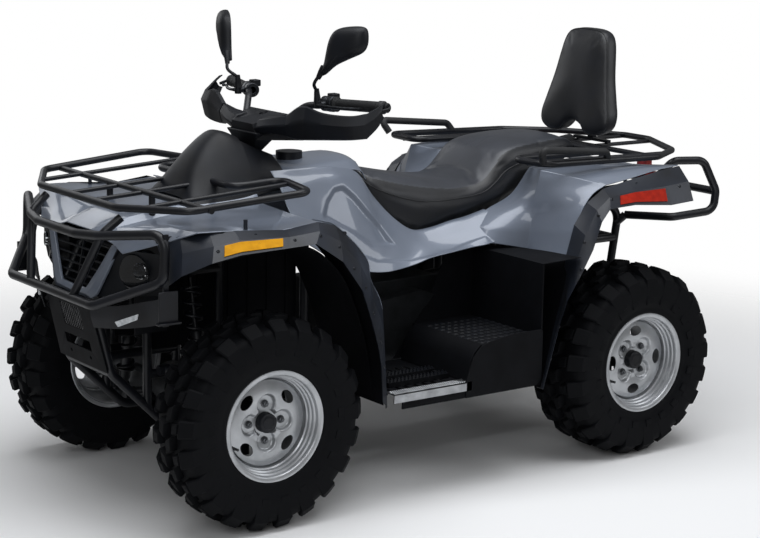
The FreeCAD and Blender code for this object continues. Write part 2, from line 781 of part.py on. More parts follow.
def make_steering():
    """Column with the plate at its foot that moves the tie rods, and the handlebar."""
    behind = (pitman_pin() - COLUMN_FOOT).normalize()
    top = column_point(1100)
    plate = prism([COLUMN_FOOT + behind * -22 + Vector(0, -24, 0),
                   COLUMN_FOOT + behind * -22 + Vector(0, 24, 0),
                   pitman_pin() + behind * 14 + Vector(0, 30, 0),
                   pitman_pin() + behind * 14 + Vector(0, -30, 0)], COLUMN_AXIS * -8)
    column = fused([rod(COLUMN_FOOT, top, size("column_radius")), plate])
    add_node("steering_column", column)
    bar_radius = size("bar_radius")
    add_node("handlebar", bar_tube(bar_radius))


def bar_tube(radius):
    """Handlebar: level across the column's head, rising and sweeping back to the grips."""
    top = column_point(1100)
    centre = top - COLUMN_AXIS * (size("bar_radius") + size("seat_gap"))
    left = [Vector(centre.x, 90, centre.z), front(352, 165, 1180), front(306, 235, 1190),
            front(252, 428, 1196)]
    return tube([Vector(p.x, -p.y, p.z) for p in reversed(left)] + left, radius, 60)


def make_bar_parts():
    """Grips, levers, cover, hand guards and mirrors on the handlebar."""
    inner, outer = front(300, 250, 1190.5), front(254, 420, 1195.8)
    axis = (outer - inner).normalize()
    bore = bar_tube(size("bar_radius") + size("bearing_fit"))
    grip = fused([rod(inner, outer + axis * 12, size("grip_radius")),
                  rod(inner, inner + axis * 6, size("grip_radius") + 6),
                  rod(outer + axis * 6, outer + axis * 14, size("grip_radius") + 3)]).cut(bore)
    add_pair("grips", grip)
    switch = rod(inner - axis * 48, inner - axis * 1, 24).cut(bore)
    lever_start = inner - axis * 24 + Vector(30, 0, 0)
    perch = inner - axis * 24 + Vector(46, 0, 0)
    lever = fused([switch, rod(inner - axis * 24 + Vector(15, 0, 0), perch, 9),
                   barrel(perch, Vector(0, 0, 1), 11, 24),
                   tube([lever_start - axis * 6, lever_start + axis * 40 + Vector(14, 0, -2),
                         lever_start + axis * 150 + Vector(4, 0, -4)], 5.5, 40)]).cut(bore)
    add_pair("controls", lever)
    shield = [[front(430, 205, 1090), front(436, 203, 1140), front(425, 205, 1182)],
              [front(420, 290, 1085), front(430, 285, 1140), front(412, 285, 1190)],
              [front(380, 390, 1090), front(392, 385, 1145), front(376, 380, 1198)],
              [front(326, 450, 1100), front(334, 452, 1150), front(322, 446, 1206)],
              [front(262, 462, 1125), front(262, 468, 1160), front(262, 460, 1212)]]
    guard = skin(shield, -3.5)
    plug = outer + axis * (14 + size("seat_gap"))
    carrier = [rod(plug, plug + axis * 12, 14),
               tube([plug + axis * 6, plug + axis * 26, front(268, 461, 1175),
                     front(300, 456, 1160)], 5, 12)]
    add_pair("hand_guards", fused([guard] + carrier))
    base = perch + Vector(0, 0, 12 + size("seat_gap"))
    neck, head = front(372, 262, 1265), front(330, 350, 1370)
    collar = Part.makeCylinder(10, 10, base, Vector(0, 0, 1))
    stalk = tube([base + Vector(0, 0, 4), base + Vector(6, 4, 40), neck, front(350, 300, 1310),
                  head], 5.5, 20)
    add_pair("mirrors", fused([collar, stalk, mirror_head(head)]))
    cover = loft([
        [front(480, -60, 1120), front(480, 60, 1120), front(380, 110, 1150), front(380, -110, 1150)],
        [front(470, -70, 1070), front(470, 70, 1070), front(330, 120, 1066), front(330, -120, 1066)],
    ])
    cover = cover.cut(barrel(column_point(1100), COLUMN_AXIS, size("column_radius") + 0.3, 400))
    add_node("handlebar_cover", cover.cut(shape_of("handlebar")))


def mirror_head(centre):
    """Oval mirror shell with a flat glass side towards the rider."""
    rings = []
    for x, share in ((-14, 0.86), (-10, 1.0), (4, 0.96), (14, 0.70), (18, 0.35)):
        ring = []
        for i in range(16):
            angle = 2 * math.pi * i / 16
            ring.append(Vector(x, 42 * share * math.cos(angle), 66 * share * math.sin(angle)))
        rings.append(ring)
    shell = loft(rings)
    shell.Placement = Placement(centre, Rotation(Vector(1, 0, 0), -32))
    return shell


def across(rows):
    """Grid of points over the bike's full width, from rows given for the left half."""
    return [[front(x, y, z) for y, z in [(-a, b) for a, b in row[:0:-1]] + row]
            for x, row in rows]


def both(points):
    """The points, then their mirror images in reverse, for a loop across the bike."""
    return points + [Vector(p.x, -p.y, p.z) for p in reversed(points)]


def guard_stay(side, radius):
    """Stay from the guard's lower tube back to the frame."""
    return rod(front(1138, side * 128, 664), front(1050, side * 128, 618), radius)


def make_front_guard():
    radius = size("guard_tube_radius")
    ring = both([front(1114, 120, 848), front(1092, 215, 854), front(998, 433, 883),
                 front(1003, 431, 748), front(1138, 262, 664)])
    pieces = [tube(ring, radius, 40, True)]
    for side in (1, -1):
        upright = [front(1030, side * 236, 905), front(1084, side * 224, 862),
                   front(1137, side * 134, 664)]
        pieces.append(tube(upright, radius * 0.9, 40))
        pieces.append(guard_stay(side, STAY_RADIUS))
        strap = prism([front(990, side * 428, 883), front(1006, side * 428, 883),
                       front(1006, side * 428, 620), front(990, side * 428, 620)],
                      Vector(0, side * 8, 0))
        pieces.append(strap)
    guard = pieces[0].multiFuse(pieces[1:])
    add_node("front_guard", biggest(guard.cut(shape_of("frame"))))


def make_bash_plates():
    """Upright plate in front of the frame and the long plate under it."""
    y, wall = 150, 5
    away = size("rail_radius") + size("seat_gap")
    low, high = front(1012, 0, 420), front(1057, 0, 600)
    along = (high - low).normalize()
    out = Vector(along.z, 0, -along.x)
    foot = low + out * away + along * 12
    head = high + out * away + along * 48
    plate = prism([Vector(foot.x, -y, foot.z), Vector(foot.x, y, foot.z),
                   Vector(head.x, y - 10, head.z), Vector(head.x, 10 - y, head.z)], out * wall)
    for share, half_y, half_up in ((0.70, 62, 38), (0.32, 80, 16)):
        centre = foot + (head - foot) * share
        window = [centre + along * u + Vector(0, v, 0)
                  for u, v in ((-half_up, -half_y), (-half_up, half_y), (half_up, half_y),
                               (half_up, -half_y))]
        plate = plate.cut(prism([p - out * 5 for p in window], out * 20))
    for v in (-1, 1):
        spot = foot + (head - foot) * 0.14 + Vector(0, v * size("fairlead_hole_spacing") / 2, 0)
        plate = plate.cut(rod(spot - out * 5, spot + out * 20, size("fairlead_hole_radius")))
        plate = plate.cut(guard_stay(v, STAY_RADIUS + size("seat_gap")))
    top = size("rail_height") - size("rail_radius") - size("seat_gap")
    belly = block(rear(-840, -145, top - 4), front(780, 145, top))
    add_group("skid_plates", [plate, belly])


def rack_leg(end, y, radius):
    """Upright leg from the frame up to a rack's cross bar."""
    point, x, top = (front, RACK_BARS[0], 944) if end == "front" else (rear, RACK_BARS[1], 960)
    return rod(point(x, y, 700), point(x, y, top), radius)


def make_racks():
    """Front and rear racks on their legs, and the passenger's grab handles."""
    radius, slat = size("rack_tube_radius"), size("slat_tube_radius")
    ring = both([front(1047, 240, 935), front(930, 452, 945), front(548, 482, 974),
                 front(486, 240, 972), front(650, 230, 962)][::-1])
    pieces = [tube(ring, radius, 45, True)]
    for y in (-75, 75):
        pieces.append(rod(front(650, y, 955), front(1047, y, 931), slat))
    for y in (-305, 305):
        pieces.append(rod(front(504, y, 970), front(1011, y, 938), slat))
    pieces.append(rod(front(RACK_BARS[0], -470, 944), front(RACK_BARS[0], 470, 944), slat + 2))
    legs = [rack_leg("front", y, RACK_LEG_RADIUS) for y in RACK_LEGS]
    rack = fused(pieces + legs).cut(shape_of("frame"))
    add_node("front_rack", biggest(rack))
    ring = both([rear(-1195, 60, 965), rear(-1076, 300, 963), rear(-900, 412, 966),
                 rear(-395, 422, 977), rear(-395, 262, 976), rear(-815, 235, 968)])
    pieces = [tube(ring, radius, 45, True)]
    for y in (-75, 75):
        pieces.append(rod(rear(-815, y, 961), rear(-1188, y, 960), slat))
    for y in (-335, 335):
        pieces.append(rod(rear(-395, y, 970), rear(-1017, y, 961), slat))
    pieces.append(rod(rear(RACK_BARS[1], -400, 962), rear(RACK_BARS[1], 400, 962), slat + 2))
    legs = [rack_leg("rear", y, RACK_LEG_RADIUS) for y in RACK_LEGS]
    rack = fused(pieces + legs).cut(shape_of("frame"))
    add_node("rear_rack", biggest(rack))
    handle = tube([rear(-392, 416, 984), rear(-368, 434, 1027), rear(-655, 424, 1001),
                   rear(-672, 414, 974)], 12, 22)
    add_pair("grab_handles", biggest(handle.cut(shape_of("rear_rack"))))


def make_rear_guard():
    """Rear guard's loops and cross tube, and the hitch plate with its pin hole."""
    radius = size("guard_tube_radius")
    pieces = []
    for side in (1, -1):
        run = [rear(-1020, side * 205, 800), rear(-1085, side * 300, 925),
               rear(-1185, side * 345, 925), rear(-1248, side * 350, 815),
               rear(-1240, side * 350, 745), rear(-1092, side * 300, 727),
               rear(-1010, side * 150, 720)]
        pieces.append(tube(run, radius, 40))
        pieces.append(rod(rear(-1010, side * 150, 720), rear(-985, side * 130, 690), radius))
        pieces.append(rod(rear(-1020, side * 205, 800), rear(-1000, side * 130, 760), radius))
    pieces.append(rod(rear(-1248, -350, 812), rear(-1248, 350, 812), radius))
    add_node("rear_guard", biggest(fused(pieces).cut(shape_of("frame"))))
    thick = size("hitch_plate_thickness")
    start = -921 - size("cross_tube_radius") - size("seat_gap")
    low, high = rear(-1062, -38, 400 - thick / 2), rear(start, 38, 400 + thick / 2)
    plate = block(low, high)
    hole = Part.makeCylinder(size("hitch_pin_radius"), 60, rear(-1036, 0, 370), Vector(0, 0, 1))
    add_node("hitch_plate", plate.cut(hole))


def make_front_fairing():
    """Hood and front mudguard tops as one smooth moulding."""
    rows = [
        (1040, [(0, 842), (80, 842), (150, 840), (200, 834), (235, 822), (262, 804)]),
        (985, [(0, 862), (95, 862), (190, 860), (260, 857), (320, 850), (360, 838)]),
        (930, [(0, 876), (120, 876), (240, 872), (350, 880), (440, 886), (495, 889)]),
        (820, [(0, 893), (130, 893), (250, 882), (355, 878), (445, 880), (500, 884)]),
        (700, [(0, 905), (130, 905), (245, 888), (345, 872), (440, 870), (500, 870)]),
        (600, [(0, 915), (130, 912), (240, 890), (340, 876), (435, 874), (500, 875)]),
        (520, [(0, 930), (130, 925), (235, 893), (335, 880), (430, 878), (500, 880)]),
    ]
    grid = across(rows)
    wall = size("panel_wall")
    panel = skin(grid, wall)
    if panel.BoundBox.ZMax > max(p.z for line in grid for p in line) + 2:
        panel = skin(grid, -wall)
    for y in RACK_LEGS:
        panel = panel.cut(rack_leg("front", y, RACK_LEG_RADIUS + size("seat_gap")))
    strip = [((512, 886), (512, 882)), ((474, 872), (470, 868)), ((402, 811), (396, 806)),
             ((354, 753), (346, 748)), ((342, 694), (332, 690)), ((309, 636), (299, 632)),
             ((297, 598), (286, 594))]
    grid = [[front(ox, 500, oz), front((ox + ix) / 2, 470, (oz + iz) / 2), front(ix, 440, iz)]
            for (ox, oz), (ix, iz) in strip]
    edge = skin(grid, wall)
    add_group("front_fairing", [panel, edge, mirrored(edge)])


def crest_of(top, low, bow):
    """The moulding's outer ridge between its upper edge and its lip."""
    inward = Vector(low.x - top.x, 0, low.z - top.z).normalize()
    crest = (top + low) * 0.5 - inward * 8
    return Vector(crest.x, low.y - bow, crest.z)


def strip_on(stations, bow, spans, thick=2):
    """Reflector strip lying on the moulding's lower face, through places along its stations."""
    sections = []
    for place in spans:
        i = min(int(place), len(stations) - 2)
        share = place - i
        top = stations[i][0] * (1 - share) + stations[i + 1][0] * share
        low = stations[i][1] * (1 - share) + stations[i + 1][1] * share
        crest = crest_of(top, low, bow)
        down = low - crest
        out = down.cross(Vector(1, 0, 0)).normalize()
        if out.y < 0:
            out = out * -1
        near, far = crest + down * 0.12, crest + down * 0.8
        lift = out * (size("seat_gap") + 0.4)
        sections.append([near + lift, far + lift, far + lift + out * thick,
                         near + lift + out * thick])
    return loft(sections)


def arch(stations, bow):
    """Thin moulding round a wheel arch, from its upper edge to its lip, bowed outwards."""
    wall = size("liner_wall")
    sections = []
    for top, low in stations:
        inward = Vector(low.x - top.x, 0, low.z - top.z).normalize()
        crest = crest_of(top, low, bow)
        sections.append([top, crest, low, low - Vector(0, wall + 1, 0),
                         crest + inward * 6 - Vector(0, wall, 0),
                         top + inward * 5 + Vector(0, 2, 0)])
    return loft(sections)


def lug(place):
    """Screw lug that reaches inboard from a moulding and up to the panel's underside."""
    inboard = place - Vector(0, 34, 16)
    return fused([rod(place + Vector(0, 21, -12), inboard + Vector(0, 0, 4), 5),
                  rod(inboard, inboard + Vector(0, 0, 40), 6)])


def make_flares():
    """Arch mouldings held to the fairings, and the reflector strips on them."""
    upper = [(985, 345, 862), (950, 430, 875), (890, 490, 884), (818, 505, 889), (648, 505, 876),
             (534, 505, 889), (474, 505, 872), (402, 505, 811), (354, 505, 753), (342, 505, 694),
             (309, 505, 636), (297, 505, 598), (278, 505, 291)]
    lip = [(982, 425, 735), (985, 500, 775), (930, 572, 818), (840, 580, 834), (680, 580, 838),
           (590, 580, 841), (495, 580, 779), (426, 580, 688), (400, 580, 620), (388, 580, 585),
           (366, 580, 515), (352, 580, 450), (345, 580, 340)]
    stations = [(front(*a), front(*b)) for a, b in zip(upper, lip)]
    fairing = shape_of("front_fairing")
    moulding = biggest(arch(stations, FLARE_BOW).cut(fairing))
    moulding = seated(moulding, lug(front(760, 505, 886)), fairing, Vector(0, 0, 1))
    tab = rod(front(440, 507, 846), front(440, 480, 846), 6)
    add_pair("front_flares", seated(moulding, tab, fairing, Vector(0, -1, 0)))
    ahead = strip_on(stations, FLARE_BOW, (2.4, 3, 3.85))
    upper = [(-322, 271), (-373, 456), (-415, 628), (-425, 695), (-454, 790), (-506, 857),
             (-573, 897), (-677, 915), (-818, 937), (-909, 947)]
    lip = [(-272, 295), (-330, 477), (-366, 570), (-418, 644), (-465, 720), (-498, 807),
           (-532, 846), (-640, 850), (-800, 836), (-900, 842)]
    stations = [(rear(ux, 505, uz), rear(lx, 588, lz)) for (ux, uz), (lx, lz) in zip(upper, lip)]
    fairing = shape_of("rear_fairing")
    moulding = biggest(arch(stations, FLARE_BOW).cut(fairing))
    moulding = seated(moulding, lug(rear(-700, 505, 918)), fairing, Vector(0, 0, 1))
    add_pair("rear_flares", moulding)
    behind = strip_on(stations, FLARE_BOW, (6.4, 7, 7.9))
    add_group("reflectors", [ahead, mirrored(ahead), behind, mirrored(behind)])


def make_liners():
    """Inner mudguards over the wheels, inboard of the flares."""
    wall = size("liner_wall")
    path = [(880, 798), (715, 815), (560, 812), (450, 725), (390, 610), (348, 480), (322, 332)]
    grid = [[front(x, y, z) for y in (240, 370, 495)] for x, z in path]
    liner = skin(grid, wall)
    liner = seated(liner, Part.makeCylinder(8, 110, front(650, 400, 800), Vector(0, 0, 1)),
                   shape_of("front_fairing"), Vector(0, 0, 1))
    liners = [liner]
    path = [(-300, 300), (-352, 480), (-415, 640), (-458, 735), (-520, 805), (-610, 838),
            (-760, 848), (-930, 828)]
    grid = [[rear(x, y, z) for y in (215, 350, 490)] for x, z in path]
    liner = skin(grid, -wall)
    liner = seated(liner, Part.makeCylinder(8, 120, rear(-640, 350, 836), Vector(0, 0, 1)),
                   shape_of("rear_fairing"), Vector(0, 0, 1))
    liners.append(liner)
    add_group("mudguard_liners", liners + [mirrored(liner) for liner in liners])


def make_side_panels():
    """Side panels below the seat, the panel over the tank and the fuel cap."""
    rows = [
        (470, [(150, 985), (215, 905), (285, 862), (325, 800)]),
        (300, [(152, 985), (207, 900), (266, 800), (300, 690)]),
        (150, [(152, 958), (206, 905), (264, 765), (300, 668)]),
        (60, [(162, 850), (206, 835), (264, 735), (300, 678)]),
        (-50, [(176, 762), (210, 752), (268, 718), (300, 692)]),
        (-150, [(182, 772), (214, 762), (274, 730), (302, 703)]),
        (-235, [(184, 780), (222, 772), (282, 745), (304, 714)]),
    ]
    grid = [[anchored(x, y, z) for y, z in row] for x, row in rows]
    side = skin(grid, size("panel_wall"))
    rows = [
        (430, [(0, 975), (60, 975), (112, 968), (144, 950)]),
        (380, [(0, 987), (60, 987), (112, 980), (144, 962)]),
        (300, [(0, 990), (60, 990), (112, 983), (145, 965)]),
        (147, [(0, 1000), (55, 998), (105, 988), (145, 962)]),
        (110, [(0, 985), (50, 982), (100, 965), (140, 930)]),
    ]
    grid = across(rows)
    tank = skin(grid, size("panel_wall"))
    frame = shape_of("frame")
    for y in (-118, 118):
        post = Part.makeCylinder(8, 226, front(300, y, 752), Vector(0, 0, 1))
        tank = seated(tank, post, frame, Vector(0, 0, -1))
    tab = rod(front(250, 161, 971), front(250, 135, 971), 3)
    side = seated(side, tab, tank, Vector(0, -1, 0))
    add_group("tank_panels", [tank, side, mirrored(side)])
    cap = Part.makeCylinder(size("fuel_cap_radius"), size("fuel_cap_height") + 8,
                            front(305, 0, 984), Vector(0, 0, 1))
    add_node("fuel_cap", biggest(clear_of(cap, "tank_panels")))


def make_rear_fairing():
    """Rear mudguard tops hung from the rack, and the deck between them."""
    rows = [
        [(-315, 205, 715), (-330, 345, 712), (-425, 500, 695)],
        [(-335, 205, 775), (-345, 345, 790), (-454, 500, 790)],
        [(-370, 205, 860), (-366, 345, 880), (-506, 500, 857)],
        [(-440, 205, 925), (-391, 341, 946), (-573, 500, 897)],
        [(-560, 205, 930), (-560, 345, 938), (-677, 500, 915)],
        [(-760, 205, 925), (-780, 345, 936), (-818, 500, 937)],
        [(-990, 205, 905), (-940, 345, 925), (-909, 500, 947)],
    ]
    grid = [[rear(*p) for p in row] for row in rows]
    side = skin(grid, -size("panel_wall"))
    post = Part.makeCylinder(8, 60, rear(-560, 419, 922), Vector(0, 0, 1))
    side = seated(side, post, shape_of("rear_rack"), Vector(0, 0, 1))
    rows = [[(-800, y, 925) for y in (-200, 0, 200)], [(-985, y, 905) for y in (-200, 0, 200)]]
    deck = skin([[rear(*p) for p in row] for row in rows], -size("panel_wall"))
    for y in RACK_LEGS:
        deck = deck.cut(rack_leg("rear", y, RACK_LEG_RADIUS + size("seat_gap")))
    add_group("rear_fairing", [side, mirrored(side), deck])


def make_cowl():
    """Hollow cowl over the column, open behind for the handlebar."""
    sections = [
        [front(690, y, z) for y, z in ((-115, 920), (-90, 930), (90, 930), (115, 920))],
        [front(642, y, z) for y, z in ((-128, 922), (-88, 942), (88, 942), (128, 922))],
        [front(622, y, z) for y, z in ((-134, 924), (-84, 985), (84, 985), (134, 924))],
        [front(575, y, z) for y, z in ((-150, 930), (-58, 1098), (58, 1098), (150, 930))],
        [front(400, y, z) for y, z in ((-165, 960), (-70, 1030), (70, 1030), (165, 960))],
    ]
    inner = [
        [front(692, y, z) for y, z in ((-105, 913), (-84, 925), (84, 925), (105, 913))],
        [front(640, y, z) for y, z in ((-120, 915), (-84, 937), (84, 937), (120, 915))],
        [front(617, y, z) for y, z in ((-126, 917), (-79, 980), (79, 980), (126, 917))],
        [front(575, y, z) for y, z in ((-142, 923), (-54, 1092), (54, 1092), (142, 923))],
        [front(398, y, z) for y, z in ((-157, 953), (-66, 1024), (66, 1024), (157, 953))],
    ]
    cowl = loft(sections).cut(loft(inner))
    slot = [front(580, y, 900) for y in (-45, 45)] + [front(395, y, 900) for y in (45, -45)]
    cowl = cowl.cut(prism(slot, Vector(0, 0, 300)))
    cowl = clear_of(cowl, "tank_panels")
    add_node("cowl", biggest(cowl))


def make_seat():
    """Two-step seat on its feet, the backrest pad and its post."""
    rows = [
        (95, 90, 905, 958), (50, 135, 815, 944), (-97, 165, 740, 914), (-250, 178, 772, 896),
        (-370, 182, 797, 915), (-440, 175, 810, 990), (-560, 165, 850, 1018),
        (-720, 145, 925, 1019), (-785, 125, 955, 995),
    ]
    sections = []
    for x, half, low, high in rows:
        rise = high - low
        sections.append([anchored(x, y, z) for y, z in (
            (-half, low), (-half, low + rise * 0.6), (-half * 0.82, high - rise * 0.08),
            (0, high), (half * 0.82, high - rise * 0.08), (half, low + rise * 0.6), (half, low))])
    seat = loft(sections)
    rail_top = size("rail_radius") + size("seat_gap")
    for foot, height, reach in ((anchored(-140, 0, 690), 75, 130), (rear(-560, 0, 760), 100, 130)):
        for side in (1, -1):
            start = Vector(foot.x, side * reach, foot.z + rail_top)
            seat = seat.fuse(Part.makeCylinder(16, height, start, Vector(0, 0, 1)))
    add_node("seat", seat)
    outline_points = [(0, 1368), (120, 1352), (160, 1320), (172, 1230), (165, 1120), (120, 1035),
                      (70, 1016)]
    face = [rear(-900, y, z) for y, z in outline_points]
    face = face + [Vector(p.x, -p.y, p.z) for p in reversed(face[1:])]
    pad = prism(face, Vector(-60, 0, 0))
    add_node("backrest", pad)
    foot_z = 961 + size("slat_tube_radius") + 6 + size("seat_gap")
    post = fused([
        block(rear(-984, -14, foot_z - 6), rear(-966, 14, 1180)),
        block(rear(-966, -50, 1080), rear(-960.3, 50, 1180)),
        block(rear(-984, -90, foot_z - 6), rear(-966, 90, foot_z + 4)),
    ])
    add_node("backrest_post", post.cut(shape_of("rear_rack")))


def make_footwells():
    """Foot boards with a sill, a raised passenger step and the wall behind it."""
    wall = BOARD_WALL
    floor, sill_low, y_in, y_out = BOARD_FLOOR, 303, 215, 572
    x_front, x_rear = 314, -278
    pieces = [
        block(anchored(x_rear, y_in, floor - wall), anchored(x_front, y_out, floor)),
        block(anchored(x_rear, y_out - wall, sill_low), anchored(268, y_out, floor)),
        block(anchored(x_rear, y_in, floor), anchored(-35, y_out, 462)),
        block(anchored(x_rear, 240, floor), anchored(x_rear + wall, y_out, 690)),
    ]
    cavity = block(anchored(x_rear + wall, y_in + wall, floor - 10),
                   anchored(-35 - wall, y_out - wall, 458))
    board = fused(pieces).cut(cavity)
    board = board.cut(block(anchored(268, 498, sill_low - 10),
                            anchored(x_front + 10, y_out + 10, floor + 10)))
    for i in range(6):
        x = 60 + 34 * i
        board = board.cut(block(anchored(x, 300, floor - 10), anchored(x + 16, 520, floor + 10)))
    pegs = fused([block(anchored(30, 400, floor + 0.3), anchored(262, 424, floor + 16)),
                  block(anchored(30, 470, floor + 0.3), anchored(262, 494, floor + 16)),
                  block(anchored(30, 400, floor + 0.3), anchored(42, 494, floor + 10)),
                  block(anchored(250, 400, floor + 0.3), anchored(262, 494, floor + 10))])
    add_group("footwells", [board, mirrored(board), pegs, mirrored(pegs)])
    edge = block(anchored(5, y_out + 0.3, sill_low + 6), anchored(266, y_out + 4, floor))
    lip = block(anchored(5, y_out - 34, floor + 0.3), anchored(266, y_out + 4, floor + 4))
    add_pair("sill_strips", fused([edge, lip]))


def surround_section(share):
    """Left bar of the fascia's U-shaped surround at a share of its height, inner and outer y."""
    x, z = 1034 + 28 * share, 812 - 150 * share
    return x, z, 200 - 118 * share, 228 - 116 * share


def make_fascia():
    """Front of the bike: pale U-shaped surround, grille, lamp panels and side skirts."""
    gap, wall = size("seat_gap"), size("liner_wall")
    bars, flanges = [], []
    for side in (1, -1):
        sections, behind = [], []
        for share in (0, 1):
            x, z, inner, outer = surround_section(share)
            sections.append([front(x + 6, side * inner, z), front(x + 6, side * outer, z),
                             front(x, side * outer, z), front(x, side * inner, z)])
            behind.append([front(x - gap, side * (inner + 2), z),
                           front(x - gap, side * (outer - 2), z),
                           front(x - 12, side * (outer - 2), z),
                           front(x - 12, side * (inner + 2), z)])
        bars.append(loft(sections))
        flanges.append(loft(behind))
    foot = block(front(1062, -112, 646), front(1068, 112, 670))
    add_node("fascia_surround", fused(bars + [foot]))
    mask = skin([[front(1054, 104, 655), front(1008, 220, 668), front(972, 345, 690)],
                 [front(1040, 150, 730), front(990, 270, 735), front(958, 395, 738)],
                 [front(1026, 212, 808), front(985, 312, 810), front(958, 398, 812)]], wall)
    lamp_place = front(1000, 262, 748)
    look = Vector(0.9, 0.42, 0).normalize()
    mask = mask.cut(barrel(lamp_place, look, LAMP_RADIUS + gap, 160))
    lamps = barrel(lamp_place - look * 38, look, LAMP_RADIUS, 70)
    lamps = fused([lamps, barrel(lamp_place - look * 2, look, LAMP_RADIUS - 8, 14)])
    return_lip = barrel(lamp_place - look * 30, look, LAMP_RADIUS + 6, 40)
    return_lip = return_lip.cut(barrel(lamp_place, look, LAMP_RADIUS + gap, 160))
    skirt = skin([[front(1092, 158, 640), front(1056, 250, 652), front(1012, 345, 678),
                   front(994, 427.7, 700)],
                  [front(1088, 158, 606), front(1050, 250, 614), front(1008, 345, 640),
                   front(990, 427.7, 662)],
                  [front(1078, 158, 574), front(1042, 250, 584), front(1002, 345, 604),
                   front(986, 427.7, 630)]], -wall)
    skirt = biggest(skirt.cut(shape_of("front_guard")))
    panels = []
    for side, flange in zip((1, -1), flanges):
        pair = [mask, return_lip, skirt] if side == 1 else [mirrored(mask), mirrored(return_lip),
                                                           mirrored(skirt)]
        panels.append(biggest(fused([flange, pair[0], pair[1]]).cut(shape_of("frame"))))
        panels.append(pair[2])
    add_group("fascia_panels", panels)
    add_pair("headlamps", lamps)
    lens = skin([[front(1056, 250, 634), front(1030, 300, 646)],
                 [front(1052, 250, 616), front(1028, 300, 628)]], -8)
    lens = lens.translated(Vector(7, 5, 0))
    stem = rod(front(1048, 280, 630), front(1020, 266, 630), 6)
    add_pair("front_markers", seated(biggest(lens.cut(skirt)), stem, skirt, Vector(-1, 0, 0)))
    slats = [prism([front(1027, -3, 812), front(1021, -3, 812), front(1049, -3, 662),
                    front(1055, -3, 662)], Vector(0, 6, 0))]
    for i in range(6):
        share = 0.06 + 0.165 * i
        x, z, inner, outer = surround_section(share)
        reach = inner - gap
        slats.append(block(front(x - 13, -reach, z - 2.5), front(x - 7, reach, z + 2.5)))
    add_node("grille", fused(slats))


def make_tail_lamps():
    """Lamps on holders that hang from the rear fairing."""
    tail = block(rear(-1016, 215, 838), rear(-998, 300, 892))
    holder = block(rear(-1002, 235, 876), rear(-974, 280, 935))
    add_pair("tail_lamps", seated(tail, holder, shape_of("rear_fairing"), Vector(0, 0, 1)))


def make_silencer():
    """Silencer with its tail pipe and the pipe from the engine."""
    radius, length = size("silencer_radius"), size("silencer_length")
    y = size("rail_spacing") / 2 + size("rail_radius") + radius + size("seat_gap")
    start = rear(-1120, -y, 580)
    body = Part.makeCylinder(radius, length, start, Vector(1, 0, 0))
    tip = Part.makeCylinder(22, 30, start - Vector(30, 0, 0), Vector(1, 0, 0))
    joint = start + Vector(length - 2, 0, 0)
    port = middle(10 - size("engine_length") / 2 - size("seat_gap"), -60, 540)
    pipe = tube([joint, joint + Vector(30, 0, 0), rear(-812, -95, 578), rear(-700, -60, 560),
                 port - Vector(60, 0, 0), port], 19, 40)
    add_node("silencer", fused([body, tip, pipe]))


make_wheels()
make_frame()
make_engine()
make_differentials()
make_half_shafts()
make_suspension()
make_tie_rods()
make_steering()
make_bar_parts()
make_front_guard()
make_bash_plates()
make_racks()
make_rear_guard()
make_front_fairing()
make_rear_fairing()
make_flares()
make_liners()
make_side_panels()
make_cowl()
make_seat()
make_footwells()
make_fascia()
make_tail_lamps()
make_silencer()
doc.recompute()

faults = [item.Label for item in doc.Objects if {"Invalid", "Error"} & set(item.State)]
faults += [node.Label for node in nodes if node.Shape.isNull() or not node.Shape.isValid()]
if faults:
    raise RuntimeError("these objects failed: " + ", ".join(faults))
os.makedirs("parts", exist_ok=True)
for node in nodes:
    node.Shape.exportStep("parts/%s.step" % node.Label)
print("%d sub-parts" % len(nodes))
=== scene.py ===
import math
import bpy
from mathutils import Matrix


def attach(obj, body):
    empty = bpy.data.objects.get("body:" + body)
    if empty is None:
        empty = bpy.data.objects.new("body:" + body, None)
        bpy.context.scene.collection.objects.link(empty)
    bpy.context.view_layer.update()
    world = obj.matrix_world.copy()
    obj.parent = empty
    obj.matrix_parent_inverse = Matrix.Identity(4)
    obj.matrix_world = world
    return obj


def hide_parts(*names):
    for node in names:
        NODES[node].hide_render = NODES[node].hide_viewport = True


bl_info = {
    "name": "Quad Bike Finish",
    "version": (1, 0, 0),
    "blender": (4, 5, 0),
    "location": "View3D > Sidebar > Quad Bike",
    "description": "Tyres, wheels, seat, lamps, trim, finishes and stage for a quad bike",
    "category": "Object",
}

import bmesh
import bpy
import numpy as np
from mathutils import Matrix, Vector
from mathutils.bvhtree import BVHTree

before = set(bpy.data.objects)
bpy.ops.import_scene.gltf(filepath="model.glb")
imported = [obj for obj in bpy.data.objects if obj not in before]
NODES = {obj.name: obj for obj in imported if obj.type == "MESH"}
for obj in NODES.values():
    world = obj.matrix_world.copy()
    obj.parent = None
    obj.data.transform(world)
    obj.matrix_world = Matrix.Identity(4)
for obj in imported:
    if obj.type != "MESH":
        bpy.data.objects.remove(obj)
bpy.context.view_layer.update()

# Millimetres of the drawing become metres of the frame. Its x = 0 lies 55 mm ahead of the
# middle of the wheel base.
MM = 0.001
MERGE_DISTANCE = 1e-6
SHIFT = 55.0
AXLE_X = {"front": 770.0, "rear": -660.0}
AXLE_Z = 317.5
TRACK = {"front": 476.5, "rear": 469.5}
TYRE_HALF = {"front": 101.5, "rear": 123.5}
RIM_HALF = {"front": 90.5, "rear": 112.5}
SIDES = (("left", 1), ("right", -1))


def drawn(points):
    """Points of the drawing, measured from mid wheel base in mm, as an array in the model's mm."""
    return np.array(points, float) + [SHIFT, 0, 0]


def drawn_pairs(pairs):
    """Pairs (x, z) of the drawing in the model's mm."""
    return np.asarray(pairs, float) + [SHIFT, 0]


# A shape is a pair: an array of points in mm and a list of faces given by corner numbers.


